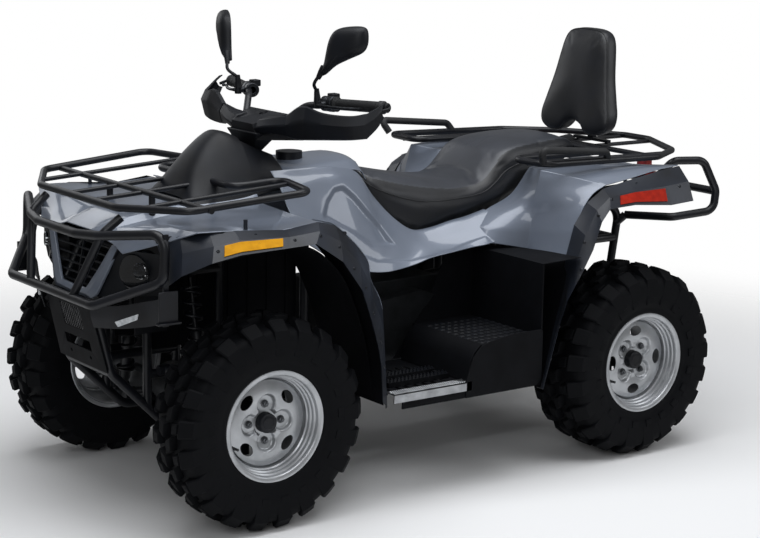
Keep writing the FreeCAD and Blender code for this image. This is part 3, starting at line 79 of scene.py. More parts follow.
def grid_shape(points, wrap_u=False, wrap_v=False):
    """Surface p(u, v) on a grid of rows u and columns v: each cell is one quad."""
    points = np.asarray(points, float)
    rows, columns = points.shape[:2]
    i, j = np.meshgrid(np.arange(rows if wrap_u else rows - 1),
                       np.arange(columns if wrap_v else columns - 1), indexing="ij")
    up, over = (i + 1) % rows, (j + 1) % columns
    quads = np.stack([i * columns + j, up * columns + j, up * columns + over,
                      i * columns + over], -1).reshape(-1, 4)
    return points.reshape(-1, 3), quads.tolist()


def capped(points):
    """Surface p(u, v) whose rows are closed rings, with the first and last ring filled."""
    shape, faces = grid_shape(points, wrap_v=True)
    rows, columns = np.asarray(points).shape[:2]
    faces.append(list(range(columns))[::-1])
    faces.append(list(range((rows - 1) * columns, rows * columns)))
    return shape, faces


def joined(shapes):
    """Several shapes as one, without merging points."""
    points, faces, start = [], [], 0
    for some, corners in shapes:
        points.append(some)
        faces += [[k + start for k in face] for face in corners]
        start += len(some)
    return np.concatenate(points), faces


def moved(shape, offset=(0, 0, 0), turn=None):
    """The shape turned by a 3 by 3 matrix, then shifted."""
    points, faces = shape
    points = points if turn is None else points @ np.asarray(turn, float).T
    return points + np.asarray(offset, float), faces


def mirrored(shape):
    """The shape's mirror image on the other side of the bike."""
    points, faces = shape
    return points * [1, -1, 1], [face[::-1] for face in faces]


def both(shapes):
    """The shapes and their mirror images."""
    return shapes + [mirrored(shape) for shape in shapes]


def turned(profile, steps):
    """Surface of revolution: (r cos a, h, r sin a) for a profile of radius r and height h."""
    profile = np.asarray(profile, float)
    angle = np.linspace(0, 2 * math.pi, steps, endpoint=False)[:, None]
    radius, height = profile[:, 0], profile[:, 1]
    flat = np.broadcast_to(height, (steps, len(profile)))
    return np.stack([radius * np.cos(angle), flat, radius * np.sin(angle)], -1)


def revolved(profile, steps=96):
    """Closed ring made by carrying a closed profile (radius, height) once round the Y axis."""
    return grid_shape(turned(profile, steps), wrap_u=True, wrap_v=True)


def dome(profile, steps=48):
    """Solid of revolution round the Y axis whose profile starts and ends on the axis."""
    return capped(turned(profile[1:-1], steps).transpose(1, 0, 2))


def curve_through(points, per=8, closed=False):
    """Catmull-Rom curve: each span is the cubic whose end slopes are half the chord between
    the neighbouring points."""
    p = np.asarray(points, float)
    if closed:
        p = np.concatenate([p[-1:], p, p[:2]])
    else:
        p = np.concatenate([2 * p[:1] - p[1:2], p, 2 * p[-1:] - p[-2:-1]])
    t = np.linspace(0, 1, per, endpoint=False)[None, :, None]
    a, b, c, d = (p[k:len(p) - 3 + k][:, None] for k in range(4))
    spans = 0.5 * (2 * b + (c - a) * t + (2 * a - 5 * b + 4 * c - d) * t**2
                   + (3 * b - a - 3 * c + d) * t**3)
    line = spans.reshape(-1, p.shape[1])
    return line if closed else np.concatenate([line, p[-2:-1]])


def patch(points, per=6, rows=(), columns=()):
    """Finer grid through a grid of points: smooth curves both ways, broken at the listed rows
    and columns so that a crease stays there."""
    grid = np.asarray(points, float)
    for creases in (rows, columns):
        stops = [0] + sorted(creases) + [len(grid) - 1]
        flat = grid.reshape(len(grid), -1)
        spans = [curve_through(flat[a:b + 1], per)[:-1] for a, b in zip(stops, stops[1:])]
        flat = np.concatenate(spans + [flat[-1:]])
        grid = flat.reshape(len(flat), -1, 3).transpose(1, 0, 2)
    return grid


def sheet(grid, wall):
    """Closed sheet: the grid, the same grid moved inwards by the wall, and the four rims."""
    grid = np.asarray(grid, float)
    across = np.cross(np.gradient(grid, axis=0), np.gradient(grid, axis=1))
    normal = across / np.maximum(np.linalg.norm(across, axis=2), 1e-9)[..., None]
    inner = grid - normal * wall
    rims = [np.stack(pair) for pair in ((grid[0], inner[0]), (grid[-1], inner[-1]),
                                        (grid[:, 0], inner[:, 0]), (grid[:, -1], inner[:, -1]))]
    return joined([grid_shape(some) for some in [grid, inner] + rims])


def prism(outline, axis, low, high):
    """Solid between two planes across an axis (0, 1 or 2) with a flat outline of pairs."""
    flat = np.asarray(outline, float)
    ends = [np.insert(flat, axis, place, axis=1) for place in (low, high)]
    return capped(ends)


def box_shape(low, high):
    """Block between two corners."""
    (x0, y0, z0), (x1, y1, z1) = low, high
    return prism([(x0, y0), (x1, y0), (x1, y1), (x0, y1)], 2, z0, z1)


def drawn_box(low, high):
    """Block between two corners of the drawing."""
    return box_shape(*drawn([low, high]))


def frames_along(path, closed=False):
    """Tangent and two normals at each point, turned as little as possible along the path."""
    path = np.asarray(path, float)
    ahead = np.roll(path, -1, 0) - np.roll(path, 1, 0)
    if not closed:
        ahead[0], ahead[-1] = path[1] - path[0], path[-1] - path[-2]
    tangent = ahead / np.linalg.norm(ahead, axis=1)[:, None]
    start = np.eye(3)[np.argmin(np.abs(tangent[0]))]
    normal = [np.cross(tangent[0], start)]
    for t in tangent[1:]:
        side = normal[-1] - t * (normal[-1] @ t)
        normal.append(side / np.linalg.norm(side))
    normal = np.array(normal)
    normal /= np.linalg.norm(normal, axis=1)[:, None]
    return tangent, normal, np.cross(tangent, normal)


def pipe(path, radius, sides=12, closed=False):
    """Round tube: ring k is path[k] + r (N cos a + B sin a), r a number or one per point."""
    path = np.asarray(path, float)
    _, normal, second = frames_along(path, closed)
    angle = np.linspace(0, 2 * math.pi, sides, endpoint=False)
    r = np.broadcast_to(np.asarray(radius, float), (len(path),))[:, None, None]
    rings = path[:, None] + r * (normal[:, None] * np.cos(angle)[None, :, None]
                                 + second[:, None] * np.sin(angle)[None, :, None])
    return grid_shape(rings, True, True) if closed else capped(rings)


def aimed(direction):
    """Rotation matrix that turns the +Y axis to a direction."""
    return np.array(Vector((0, 1, 0)).rotation_difference(Vector(direction)).to_matrix())


def hexagon_bolt(radius, height, washer):
    """Flanged bolt head standing up along +Y: a washer disc, whose radius is a share of the
    head's, then a six-sided head with a chamfered top."""
    six = np.linspace(0, 2 * math.pi, 6, endpoint=False)
    round_ = np.linspace(0, 2 * math.pi, 12, endpoint=False)

    def ring(angles, r, y):
        return np.stack([r * np.cos(angles), np.full(len(angles), y), r * np.sin(angles)], -1)

    head = capped([ring(six, radius, 0), ring(six, radius, height * 0.85),
                   ring(six, radius * 0.8, height)])
    disc = capped([ring(round_, radius * washer, -1), ring(round_, radius * washer, 1.2),
                   ring(round_, radius * 1.2, 1.8)])
    return joined([head, disc])


def screw_head(radius=5.0, height=3.0):
    """Button head with a socket: a short dome along +Y with a sunk middle."""
    around = np.linspace(0, 2 * math.pi, 12, endpoint=False)
    rings = [(radius, -1), (radius, 0.4 * height), (0.72 * radius, 0.9 * height),
             (0.48 * radius, height), (0.42 * radius, 0.35 * height)]
    return capped([np.stack([r * np.cos(around), np.full(12, y), r * np.sin(around)], -1)
                   for r, y in rings])


def linked(name, data):
    """New object of the scene that holds the data."""
    made = bpy.data.objects.new(name, data)
    bpy.context.scene.collection.objects.link(made)
    return made


def meshed(name, shape, merge=True):
    """New object at the origin made of a shape in mm, its faces turned outwards."""
    points, faces = shape
    mesh = bpy.data.meshes.new(name)
    mesh.from_pydata((points * MM).tolist(), [], faces)
    work = bmesh.new()
    work.from_mesh(mesh)
    if merge:
        bmesh.ops.remove_doubles(work, verts=work.verts, dist=MERGE_DISTANCE)
    bmesh.ops.recalc_face_normals(work, faces=work.faces)
    work.to_mesh(mesh)
    work.free()
    return linked(name, mesh)


def bevelled(made, width, angle):
    """Breaks the edges sharper than an angle in degrees by a width in mm."""
    edge = made.modifiers.new("Edge", "BEVEL")
    edge.width = width * MM
    edge.segments = 2
    edge.limit_method = "ANGLE"
    edge.angle_limit = math.radians(angle)


def piece(name, shapes, finish_name, body="chassis", bevel=0.0, smooth=35):
    """Object made of shapes in mm, with its finish and body. Edges sharper than the smooth angle, in
    degrees, stay sharp and are the ones bevelled."""
    made = meshed(name, joined(shapes) if isinstance(shapes, list) else shapes)
    made.data.materials.append(FINISH[finish_name])
    if bevel:
        bevelled(made, bevel, smooth)
    shade(made, smooth)
    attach(made, body)
    return made


def shade(made, angle):
    """Smooth shading with sharp edges above an angle in degrees."""
    made.data.shade_smooth()
    made.data.set_sharp_from_angle(angle=math.radians(angle))


def linear(code):
    """Linear colour of an sRGB hex code."""
    parts = [int(code[k:k + 2], 16) / 255 for k in (1, 3, 5)]
    return tuple(c / 12.92 if c <= 0.04045 else ((c + 0.055) / 1.055) ** 2.4
                 for c in parts) + (1.0,)


def add(tree, kind, settings=None, values=None, links=None):
    """Adds a node with its properties, its input values and the outputs linked to its inputs."""
    node = tree.nodes.new(kind)
    for key, value in (settings or {}).items():
        setattr(node, key, value)
    for key, value in (values or {}).items():
        node.inputs[key].default_value = value
    for key, source in (links or {}).items():
        tree.links.new(source, node.inputs[key])
    return node


def per_metre(millimetres):
    """Noise scale whose features have about that size."""
    return 1000.0 / millimetres


def finish(name, colours, roughness, metallic=0.0, patch=60.0, grain=1.5, depth=0.1,
           kind="noise", stretch=(1, 1, 1), **sockets):
    """Material of a real surface: two colours in soft patches, a fine relief, and a roughness
    that varies between two values. A colour is an sRGB hex code or a linear colour. Patch,
    grain and depth are in mm; sockets are further inputs of the shader."""
    material = bpy.data.materials.new(name)
    material.use_nodes = True
    tree = material.node_tree
    shader = tree.nodes["Principled BSDF"]
    place = add(tree, "ShaderNodeTexCoord").outputs["Object"]
    patches = add(tree, "ShaderNodeTexNoise", values={"Scale": per_metre(patch), "Detail": 4.0},
                  links={"Vector": place})
    ramp = add(tree, "ShaderNodeValToRGB", links={"Fac": patches.outputs["Fac"]})
    for stop, at, colour in zip(ramp.color_ramp.elements, (0.35, 0.68), colours):
        stop.position = at
        stop.color = linear(colour) if isinstance(colour, str) else (*colour, 1.0)
    tree.links.new(ramp.outputs["Color"], shader.inputs["Base Color"])
    scaled = add(tree, "ShaderNodeMapping", values={"Scale": stretch}, links={"Vector": place})
    if kind == "cells":
        relief = add(tree, "ShaderNodeTexVoronoi", settings={"feature": "DISTANCE_TO_EDGE"},
                     values={"Scale": per_metre(grain)}, links={"Vector": scaled.outputs[0]})
        height = relief.outputs["Distance"]
    else:
        relief = add(tree, "ShaderNodeTexNoise", values={"Scale": per_metre(grain), "Detail": 3.0},
                     links={"Vector": scaled.outputs[0]})
        height = relief.outputs["Fac"]
    rough = add(tree, "ShaderNodeMapRange",
                values={"To Min": roughness[0], "To Max": roughness[1]},
                links={"Value": patches.outputs["Fac"]})
    tree.links.new(rough.outputs["Result"], shader.inputs["Roughness"])
    if depth:
        bump = add(tree, "ShaderNodeBump", values={"Strength": 1.0, "Distance": depth * MM},
                   links={"Height": height})
        tree.links.new(bump.outputs["Normal"], shader.inputs["Normal"])
    shader.inputs["Metallic"].default_value = metallic
    for key, value in sockets.items():
        shader.inputs[key.replace("_", " ")].default_value = value
    return material


FINISH = {}


def make_finishes(colours):
    """All finishes, each named for the real material."""
    silver, silver_low = colours.silver, colours.silver_shade
    FINISH.update({
        # Silver base coat with fine flake under clear lacquer: soft sheen with a sharp highlight.
        "silver": finish("painted_abs_silver", (silver, silver_low), (0.36, 0.42), metallic=0.2,
                         patch=420, grain=1.6, depth=0.012, IOR=1.5, Coat_Weight=0.8,
                         Coat_Roughness=0.06),
        # Moulded polypropylene with a spark-eroded grain: dull, with a faint blue cast.
        "plastic": finish("moulded_polypropylene", (colours.black, "#0A0B0F"), (0.40, 0.54),
                          patch=90, grain=1.8, depth=0.06, IOR=1.49, Specular_IOR_Level=0.3),
        # Wheel arch moulding: the same plastic with a soft sheen; its paler, bluer colour is painted
        # sheen, standing in for the light on its top faces.
        "flare": finish("polypropylene_painted_sheen", ("#1E232D", colours.black), (0.36, 0.48),
                        patch=120, grain=1.8, depth=0.05, IOR=1.49, Specular_IOR_Level=0.45),
        # Unpolished plastic underneath and in the foot wells: nearly no sheen, and a darker colour
        # that is painted shade for these shaded hollows.
        "matt": finish("matt_polypropylene_painted_shade", ("#0A0B0F", "#06070A"), (0.6, 0.75), patch=60,
                       grain=2.4, depth=0.1, IOR=1.49, Specular_IOR_Level=0.12),
        # Powder coated steel tube: even satin black with a light orange peel.
        "steel": finish("powder_coated_steel", ("#13151B", "#0B0C10"), (0.32, 0.44), patch=70,
                        grain=3.0, depth=0.05, IOR=1.52, Specular_IOR_Level=0.4),
        # Vulcanised tread rubber: deep black with a dusty bloom.
        "rubber": finish("tyre_rubber", ("#06070A", "#0A0B0E"), (0.55, 0.74), patch=38,
                         grain=2.2, depth=0.12, IOR=1.52, Specular_IOR_Level=0.1),
        # Soft grip rubber.
        "grip": finish("grip_rubber", ("#111214", "#1B1C1E"), (0.55, 0.7), patch=25, grain=1.5,
                       depth=0.08, IOR=1.52),
        # Wheel silver, a fine metallic paint on pressed steel.
        "wheel": finish("wheel_silver_paint", ("#B9BBBE", "#A3A6A9"), (0.28, 0.42), metallic=0.7,
                        patch=60, grain=2.5, depth=0.03, Coat_Weight=0.3, Coat_Roughness=0.15),
        # Sand cast aluminium, greyed.
        "cast": finish("cast_aluminium", ("#26282B", "#1B1D1F"), (0.5, 0.65), metallic=0.6,
                       patch=50, grain=2.0, depth=0.15),
        # Bare turned steel of shafts and wheel nuts: bright rings on a dark ground.
        "shaft": finish("turned_steel", ("#6A6C6F", "#4A4C4F"), (0.3, 0.45), metallic=1.0,
                        patch=40, grain=1.5, depth=0.03),
        # Embossed upholstery vinyl: leather grain and a satin skin.
        "vinyl": finish("upholstery_vinyl", ("#0C0F16", "#090B0F"), (0.38, 0.50), patch=80,
                        grain=2.6, depth=0.16, kind="cells", IOR=1.52, Coat_Weight=0.12,
                        Coat_Roughness=0.4),
        # The same vinyl, smoother and a shade lighter, on the seat's top.
        "vinyl_top": finish("smooth_vinyl", ("#33363D", "#2B2E34"), (0.36, 0.46), patch=110,
                            grain=2.0, depth=0.08, kind="cells", IOR=1.52, Coat_Weight=0.15,
                            Coat_Roughness=0.35),
        # Rolled aluminium tread, brushed along the sill.
        "aluminium": finish("brushed_aluminium", ("#B4B6B9", "#9A9C9F"), (0.28, 0.42),
                            metallic=1.0, patch=30, grain=1.2, depth=0.04, stretch=(0.06, 1, 1)),
        # Smoked lamp body.
        "lamp": finish("smoked_lamp_housing", ("#0B0C0E", "#15171A"), (0.08, 0.16), patch=40,
                       grain=6, depth=0.05, IOR=1.49, Coat_Weight=1.0, Coat_Roughness=0.03),
        # Clear ribbed acrylic over a pale reflector.
        "clear": finish("ribbed_acrylic", ("#D9DDE0", "#B3B8BC"), (0.06, 0.14), patch=12,
                        grain=4.0, depth=0.6, kind="cells", IOR=1.49, Coat_Weight=1.0),
        # Silvered glass and lamp bowls: a sharp picture of the studio.
        "mirror": finish("mirror_glass", ("#E8EAEC", "#DDE0E2"), (0.01, 0.03), metallic=1.0,
                         patch=200, grain=20, depth=0.0),
        # Red signal acrylic.
        "red": finish("red_acrylic", ("#8E1410", "#6B0D0B"), (0.08, 0.18), patch=12, grain=5,
                      depth=0.5, kind="cells", IOR=1.49, Coat_Weight=1.0, Coat_Roughness=0.03),
        # Reflex sheet: small cells under a smooth clear film.
        "amber_strip": finish("yellow_reflex_sheet", ("#D19300", "#C08500"), (0.5, 0.6),
                              patch=20, grain=3.0, depth=0.05, kind="cells",
                              Specular_IOR_Level=0.12),
        "red_strip": finish("red_reflex_sheet", ("#A5220F", "#8E1A0B"), (0.5, 0.6), patch=20,
                            grain=3.0, depth=0.05, kind="cells", Specular_IOR_Level=0.12),
        # Heat-blackened steel: uneven brown-black with a broad gleam.
        "exhaust": finish("blackened_exhaust_steel", ("#2C2D2F", "#1D1D1E"), (0.4, 0.6),
                          metallic=0.7, patch=45, grain=2.0, depth=0.08),
        # Welt cord under the same vinyl, a little glossier from its stretch.
        "welt": finish("welted_vinyl", ("#1C1D20", "#141517"), (0.32, 0.42), patch=15, grain=1.5,
                       depth=0.05, IOR=1.52),
        # Black zinc on screws and bar fittings: small bright edges against the plastic.
        "zinc_black": finish("black_zinc_screws", ("#34363A", "#202226"), (0.25, 0.4),
                             metallic=0.7, patch=9, grain=2.0, depth=0.03),
    })
    # Smoked polycarbonate: clear enough to show the bowl behind it.
    FINISH["smoked_glass"] = finish("smoked_polycarbonate", ("#3A3D41", "#303337"), (0.02, 0.05),
                                    patch=60, grain=8, depth=0.02, IOR=1.58,
                                    Transmission_Weight=0.9)


NODE_FINISH = {
    "steel": ["frame", "front_arms", "rear_arms", "front_guard", "front_rack", "rear_rack",
              "rear_guard", "hitch_plate", "handlebar", "backrest_post", "tie_rod_left",
              "tie_rod_right", "steering_column", "front_knuckle_left", "front_knuckle_right",
              "rear_knuckles"],
    "cast": ["engine_block", "engine_covers", "differentials"],
    "shaft": ["half_shafts"],
    "silver": ["front_fairing", "tank_panels", "rear_fairing", "fascia_surround"],
    "plastic": ["fuel_cap", "cowl", "grille", "fascia_panels", "hand_guards",
                "handlebar_cover", "controls"],
    "flare": ["front_flares", "rear_flares"],
    "matt": ["mudguard_liners", "footwells", "skid_plates"],
    "grip": ["grab_handles"],
    "aluminium": ["sill_strips"],
    "lamp": ["headlamps"],
    "clear": ["front_markers"],
    "red": ["tail_lamps"],
    "exhaust": ["silencer"],
}
BEVELLED = {"footwells": 1.5, "skid_plates": 1.0, "handlebar_cover": 6.0,
            "fascia_surround": 1.2, "hitch_plate": 1.0, "grille": 0.8,
            "backrest_post": 1.5, "tail_lamps": 2.0, "engine_block": 4.0, "steering_column": 1.0}


def dress_nodes():
    """Gives every carried-over node its finish, and breaks the edges of the flat-sided ones."""
    for finish_name, nodes in NODE_FINISH.items():
        for name in nodes:
            mesh = NODES[name].data
            mesh.materials.clear()
            mesh.materials.append(FINISH[finish_name])
    for name, width in BEVELLED.items():
        node = NODES[name]
        weld = node.modifiers.new("Weld", "WELD")
        weld.merge_threshold = 0.02 * MM
        bevelled(node, width, 32)


def carcass_line(end):
    """Half of the tyre's outer section from the middle of the tread to the bead, (y, r)."""
    half = TYRE_HALF[end]
    points = [(0, 294.5), (0.30 * half, 294), (0.60 * half, 292), (0.80 * half, 287),
              (0.92 * half, 278), (0.985 * half, 262), (half - 0.5, 244), (0.99 * half, 222),
              (0.965 * half, 200), (0.93 * half, 184), (RIM_HALF[end] + 2, 171.5),
              (RIM_HALF[end] - 1.0, 167.2)]
    return curve_through(points, per=6)


def along_carcass(end, s):
    """Point and outward normal (y, r) at an arc length s from the tread's middle, signed."""
    line = carcass_line(end)
    steps = np.linalg.norm(np.diff(line, axis=0), axis=1)
    length = np.concatenate([[0], np.cumsum(steps)])
    slope = np.gradient(line, length, axis=0)
    far = np.abs(s)
    y, r = (np.interp(far, length, line[:, k]) for k in (0, 1))
    dy, dr = (np.interp(far, length, slope[:, k]) for k in (0, 1))
    size = np.hypot(dy, dr)
    sign = np.where(s < 0, -1.0, 1.0)
    return sign * y, r, sign * -dr / size, dy / size


def lug_set(end, count, s_span, a_span, height, skew, mirror, phase):
    """A ring of like lugs: patch (s, a) of the carcass raised by a height that falls off at the
    patch's rim, so that each lug is a tapered block."""
    u = np.array([-0.06, 0.0, 0.08, 0.5, 0.92, 1.0, 1.06])
    rise = np.array([-0.14, 0.80, 1.0, 1.0, 1.0, 0.80, -0.14])
    s = s_span[0] + (s_span[1] - s_span[0]) * u
    turn = 2 * math.pi / count
    pitch = turn * (np.arange(count) + phase)
    a = (a_span[0] + (a_span[1] - a_span[0]) * u) * turn
    s_grid = np.broadcast_to(s[None, :, None], (count, len(s), len(a)))
    slant = skew * turn * (s - s_span[0]) / (s_span[1] - s_span[0])
    a_grid = pitch[:, None, None] + a[None, None, :] + slant[None, :, None]
    lift = height * np.minimum(rise[:, None], rise[None, :])
    y, r, ny, nr = along_carcass(end, s_grid)
    cap = AXLE_Z - 0.2
    radius = np.minimum(r + nr * lift, cap)
    across = mirror * np.clip(y + ny * lift, -TYRE_HALF[end] + 0.2, TYRE_HALF[end] - 0.2)
    points = np.stack([radius * np.cos(a_grid), across, radius * np.sin(a_grid)], -1)
    return joined([grid_shape(block) for block in points])


def on_axle(end):
    """Left and right: the key of the side, and the turn and place that put a piece, drawn with
    its outer side towards +Y, on its axle."""
    for side, sign in SIDES:
        turn = np.diag([float(sign), float(sign), 1.0])
        yield "%s_%s" % (end, side), turn, (AXLE_X[end], sign * TRACK[end], AXLE_Z)


# Rings of blocks on one half of a tyre: start and end across it as shares of its half width,
# span round it as shares of the pitch, height, slant.
LUG_RINGS = [(0.60, 1.42, (0.06, 0.64), 22, 0.10), (0.36, 0.60, (0.14, 0.48), 22, 0.06),
             (0.04, 0.30, (0.42, 0.86), 22, 0.18), (1.44, 1.62, (0.12, 0.50), 5, 0.02)]


def make_tyres(count):
    """Mud tyres: a bulged carcass turned round the axle, with rings of that many blocks."""
    for end in ("front", "rear"):
        half = carcass_line(end)
        inner = [(RIM_HALF[end] - 3.4, 166.6), (RIM_HALF[end] - 3.4, 152.4)]
        side = [(r, y) for y, r in half[1:]] + [(r, y) for y, r in inner]
        profile = [(r, -y) for r, y in side[::-1]] + [(half[0][1], 0)] + side
        carcass = revolved(profile, 144)
        reach = TYRE_HALF[end]
        shapes = [carcass]
        for mirror, phase in ((1, 0.0), (-1, 0.5)):
            shapes += [lug_set(end, count, (low * reach, high * reach), span, height, slant,
                               mirror, phase) for low, high, span, height, slant in LUG_RINGS]
        whole = joined(shapes)
        for key, turn, place in on_axle(end):
            made = piece("tread_" + key, moved(whole, place, turn), "rubber",
                         "wheel_" + key, smooth=28)
            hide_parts("tyre_" + key)


def wheel_barrel(end):
    """Stepped steel barrel with rolled flanges, as a closed section turned round the axle."""
    edge = RIM_HALF[end]
    outer = [(152.0, edge - 3.5), (165.4, edge - 3.4), (166.1, edge - 1.6), (165.2, edge - 0.2),
             (162.8, edge), (152.5, edge - 1.4), (149.2, edge - 5), (148.4, edge - 16),
             (144.2, edge - 19), (143.4, edge - 29), (139.0, edge - 32), (138.2, edge - 42),
             (134.6, edge - 45)]
    wall = 3.4
    inside = [(134.6, -edge + 42), (148.6, -edge + 25), (149.2, -edge + 5), (162.8, -edge),
              (166.1, -edge + 1.6), (165.4, -edge + 3.4), (152.0, -edge + 3.5),
              (152.0, -edge + 26), (134.6 + wall, -edge + 41), (134.6 + wall, edge - 43.5),
              (152.0, edge - 26)]
    return revolved(outer + inside, 120)


# Wheel disc: depth of the nut pockets, circles of the nuts, slots and valve, half lengths of
# a slot, and the sheet's thickness.
POCKET = 12.0
NUT_CIRCLE, SLOT_CIRCLE, VALVE_CIRCLE = 55.0, 98.0, 141.0
SLOT_ROUND, SLOT_OUT = 25.0, 16.5
DISC_WALL = 3.2
# Inner end of each hub, measured outwards from the middle of the tyre.
HUB_START = {"front": -46.2, "rear": -34.2}


def pocket_depth(x, z, turn):
    """How far the disc is sunk at (x, z): a flower of one middle round and four round lobes,
    with walls that ease over a few millimetres."""
    reach = np.hypot(x, z) - 41.0
    for k in range(4):
        angle = turn + k * math.pi / 2
        nut = np.hypot(x - NUT_CIRCLE * math.cos(angle), z - NUT_CIRCLE * math.sin(angle))
        reach = np.minimum(reach, nut - 29.0)
    share = np.clip(0.5 - reach / 9.0, 0, 1)
    return POCKET * share * share * (3 - 2 * share)


def slot_cutter(turn, face):
    """Four oval prisms across the disc, long round the axle: (b sin t, R + c cos t)."""
    prisms = []
    angle = np.linspace(0, 2 * math.pi, 28, endpoint=False)
    for k in range(4):
        a = turn + k * math.pi / 2
        along, out = SLOT_ROUND * np.sin(angle), SLOT_CIRCLE + SLOT_OUT * np.cos(angle)
        x = out * math.cos(a) - along * math.sin(a)
        z = out * math.sin(a) + along * math.cos(a)
        prisms.append(capped([np.stack([x, np.full(28, face + y), z], -1) for y in (-30, 30)]))
    return joined(prisms)


def wheel_disc(end):
    """Pressed disc: a polar grid whose height dips at the nut pockets and domes to its rim."""
    face = RIM_HALF[end] - 50
    nut_turn = 0.0 if end == "front" else math.pi / 4
    radius = np.concatenate([[30.5], np.linspace(33, 90, 30), np.linspace(94, 126, 12),
                             [127.5, 129, 130.5, 132.0, 133.6, 134.4]])
    angle = np.linspace(0, 2 * math.pi, 192, endpoint=False)
    r, a = np.meshgrid(radius, angle, indexing="ij")
    x, z = r * np.cos(a), r * np.sin(a)
    rim = np.clip((r - 112) / 22, 0, 1)
    gutter = np.clip((r - 127.5) / 3.0, 0, 1)
    y = face + 4.0 * np.sin(np.clip((r - 60) / 60, 0, 1) * math.pi) - 5.0 * rim**2 \
        - 8.0 * gutter - pocket_depth(x, z, nut_turn)
    front = np.stack([x, y, z], -1)
    back = np.stack([x, y - DISC_WALL, z], -1)
    closed = np.concatenate([front, back[::-1]])
    return grid_shape(closed, wrap_u=True, wrap_v=True), nut_turn, face


def cut(made, cutter_shape):
    """Takes a shape out of a piece for good."""
    cutter = meshed("Cutter", cutter_shape, merge=False)
    mesh = cutter.data
    boolean = made.modifiers.new("Cut", "BOOLEAN")
    boolean.operation = "DIFFERENCE"
    boolean.solver = "EXACT"
    boolean.object = cutter
    settle(made)
    bpy.data.objects.remove(cutter)
    bpy.data.meshes.remove(mesh)


def settle(made):
    """Makes a piece's modifiers part of its mesh."""
    bpy.context.view_layer.update()
    graph = bpy.context.evaluated_depsgraph_get()
    done = bpy.data.meshes.new_from_object(made.evaluated_get(graph), depsgraph=graph)
    made.modifiers.clear()
    old, made.data = made.data, done
    bpy.data.meshes.remove(old)


def make_wheels():
    """Pressed steel wheels with their hubs, caps, nuts and valve stems."""
    for end in ("front", "rear"):
        disc, nut_turn, face = wheel_disc(end)
        slots = slot_cutter(nut_turn + math.pi / 4, face)
        barrel = wheel_barrel(end)
        nuts = []
        for k in range(4):
            a = nut_turn + k * math.pi / 2
            place = (NUT_CIRCLE * math.cos(a), face - POCKET + 1.0, NUT_CIRCLE * math.sin(a))
            nuts.append(moved(hexagon_bolt(9.0, 11.0, 1.35), place))
            nuts.append(moved(dome([(0, 0), (5, 0), (5, 4), (3.6, 5), (0, 5)], 12),
                              np.add(place, (0, 10, 0))))
        inner = HUB_START[end]
        back = face - 3.3 - POCKET
        core = dome([(0, inner), (38, inner), (38, back - 9), (70, back - 8.6), (71.5, back - 7),
                     (71.5, back - 0.4), (30, back - 0.2), (29.6, back), (0, back)], 64)
        cap = dome([(0, back - 1), (29.4, back - 1), (29.6, face + 6), (28.4, face + 11),
                    (25, face + 14), (18, face + 15), (16, face + 13.2), (0, face + 13)], 64)
        stem_turn = -0.35
        stem_place = np.array([math.cos(stem_turn), 0, math.sin(stem_turn)]) * VALVE_CIRCLE
        stem_line = [(6, -30, 0), (0, -24, 0), (-3, -6, 0), (-4, 2, 0)]
        stem = pipe(stem_place + np.array(stem_line) + [0, RIM_HALF[end], 0],
                    [6.5, 5.5, 3.8, 4.2], 12)
        for key, turn, place in on_axle(end):
            body = "wheel_" + key
            made = piece("wheel_disc_" + key, moved(disc, place, turn), "wheel",
                         body, smooth=50)
            cut(made, moved(slots, place, turn))
            shade(made, 40)
            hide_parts("rim_" + key)
            piece("wheel_barrel_" + key, moved(barrel, place, turn), "wheel", body,
                  smooth=40)
            made = piece("wheel_cap_" + key, [moved(s, place, turn) for s in (cap, core)],
                         "plastic", body, smooth=40)
            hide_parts("hub_" + key)
            piece("wheel_nuts_" + key, [moved(s, place, turn) for s in nuts], "shaft",
                  body, smooth=30)
            piece("valve_stem_" + key, moved(stem, place, turn), "grip", body, smooth=40)


def make_springs(turns):
    """Coil-over dampers: a rod, a body, two spring cups and a round wire on the helix
    (R cos a, h, R sin a), whose height h grows evenly with its angle a."""
    lines = {"front": [(761.4, 254.7, 264.2), (761.4, 159.5, 705.2)],
             "rear": [(-761.4, 256.8, 264.2), (-761.4, 159.5, 645.2)]}
    steel, springs = [], []
    for low, high in lines.values():
        foot, head = drawn([low, high])
        length = np.linalg.norm(head - foot)
        turn = aimed((head - foot) / length)
        eyes = [moved(revolved([(5, -13), (15, -14), (15.4, -12), (15.4, 12), (15, 14), (5, 13)], 24),
                      p, aimed((1, 0, 0))) for p in (foot, head)]
        body = dome([(0, 14), (12, 14), (18, 30), (18, length * 0.60), (15, length * 0.60 + 4),
                     (7, length * 0.60 + 5), (7, length - 15), (0, length - 15)], 32)
        cups = [dome([(0, y), (29, y), (30, y + 2), (30, y + 6), (0, y + 7)], 40)
                for y in (58, length - 50)]
        steel += eyes + [moved(shape, foot, turn) for shape in [body] + cups]
        t = np.linspace(0, 1, turns * 22)
        angle = t * turns * 2 * math.pi
        wire = np.stack([23.5 * np.cos(angle), 66 + t * (length - 50 - 66 - 2),
                         23.5 * np.sin(angle)], -1)
        springs.append(moved(pipe(wire, 4.2, 8), foot, turn))
    made = piece("dampers", both(steel), "steel", smooth=40)
    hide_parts("shocks")
    piece("spring_coils", both(springs), "steel", smooth=60)


CLOTH_FRAMES = 20


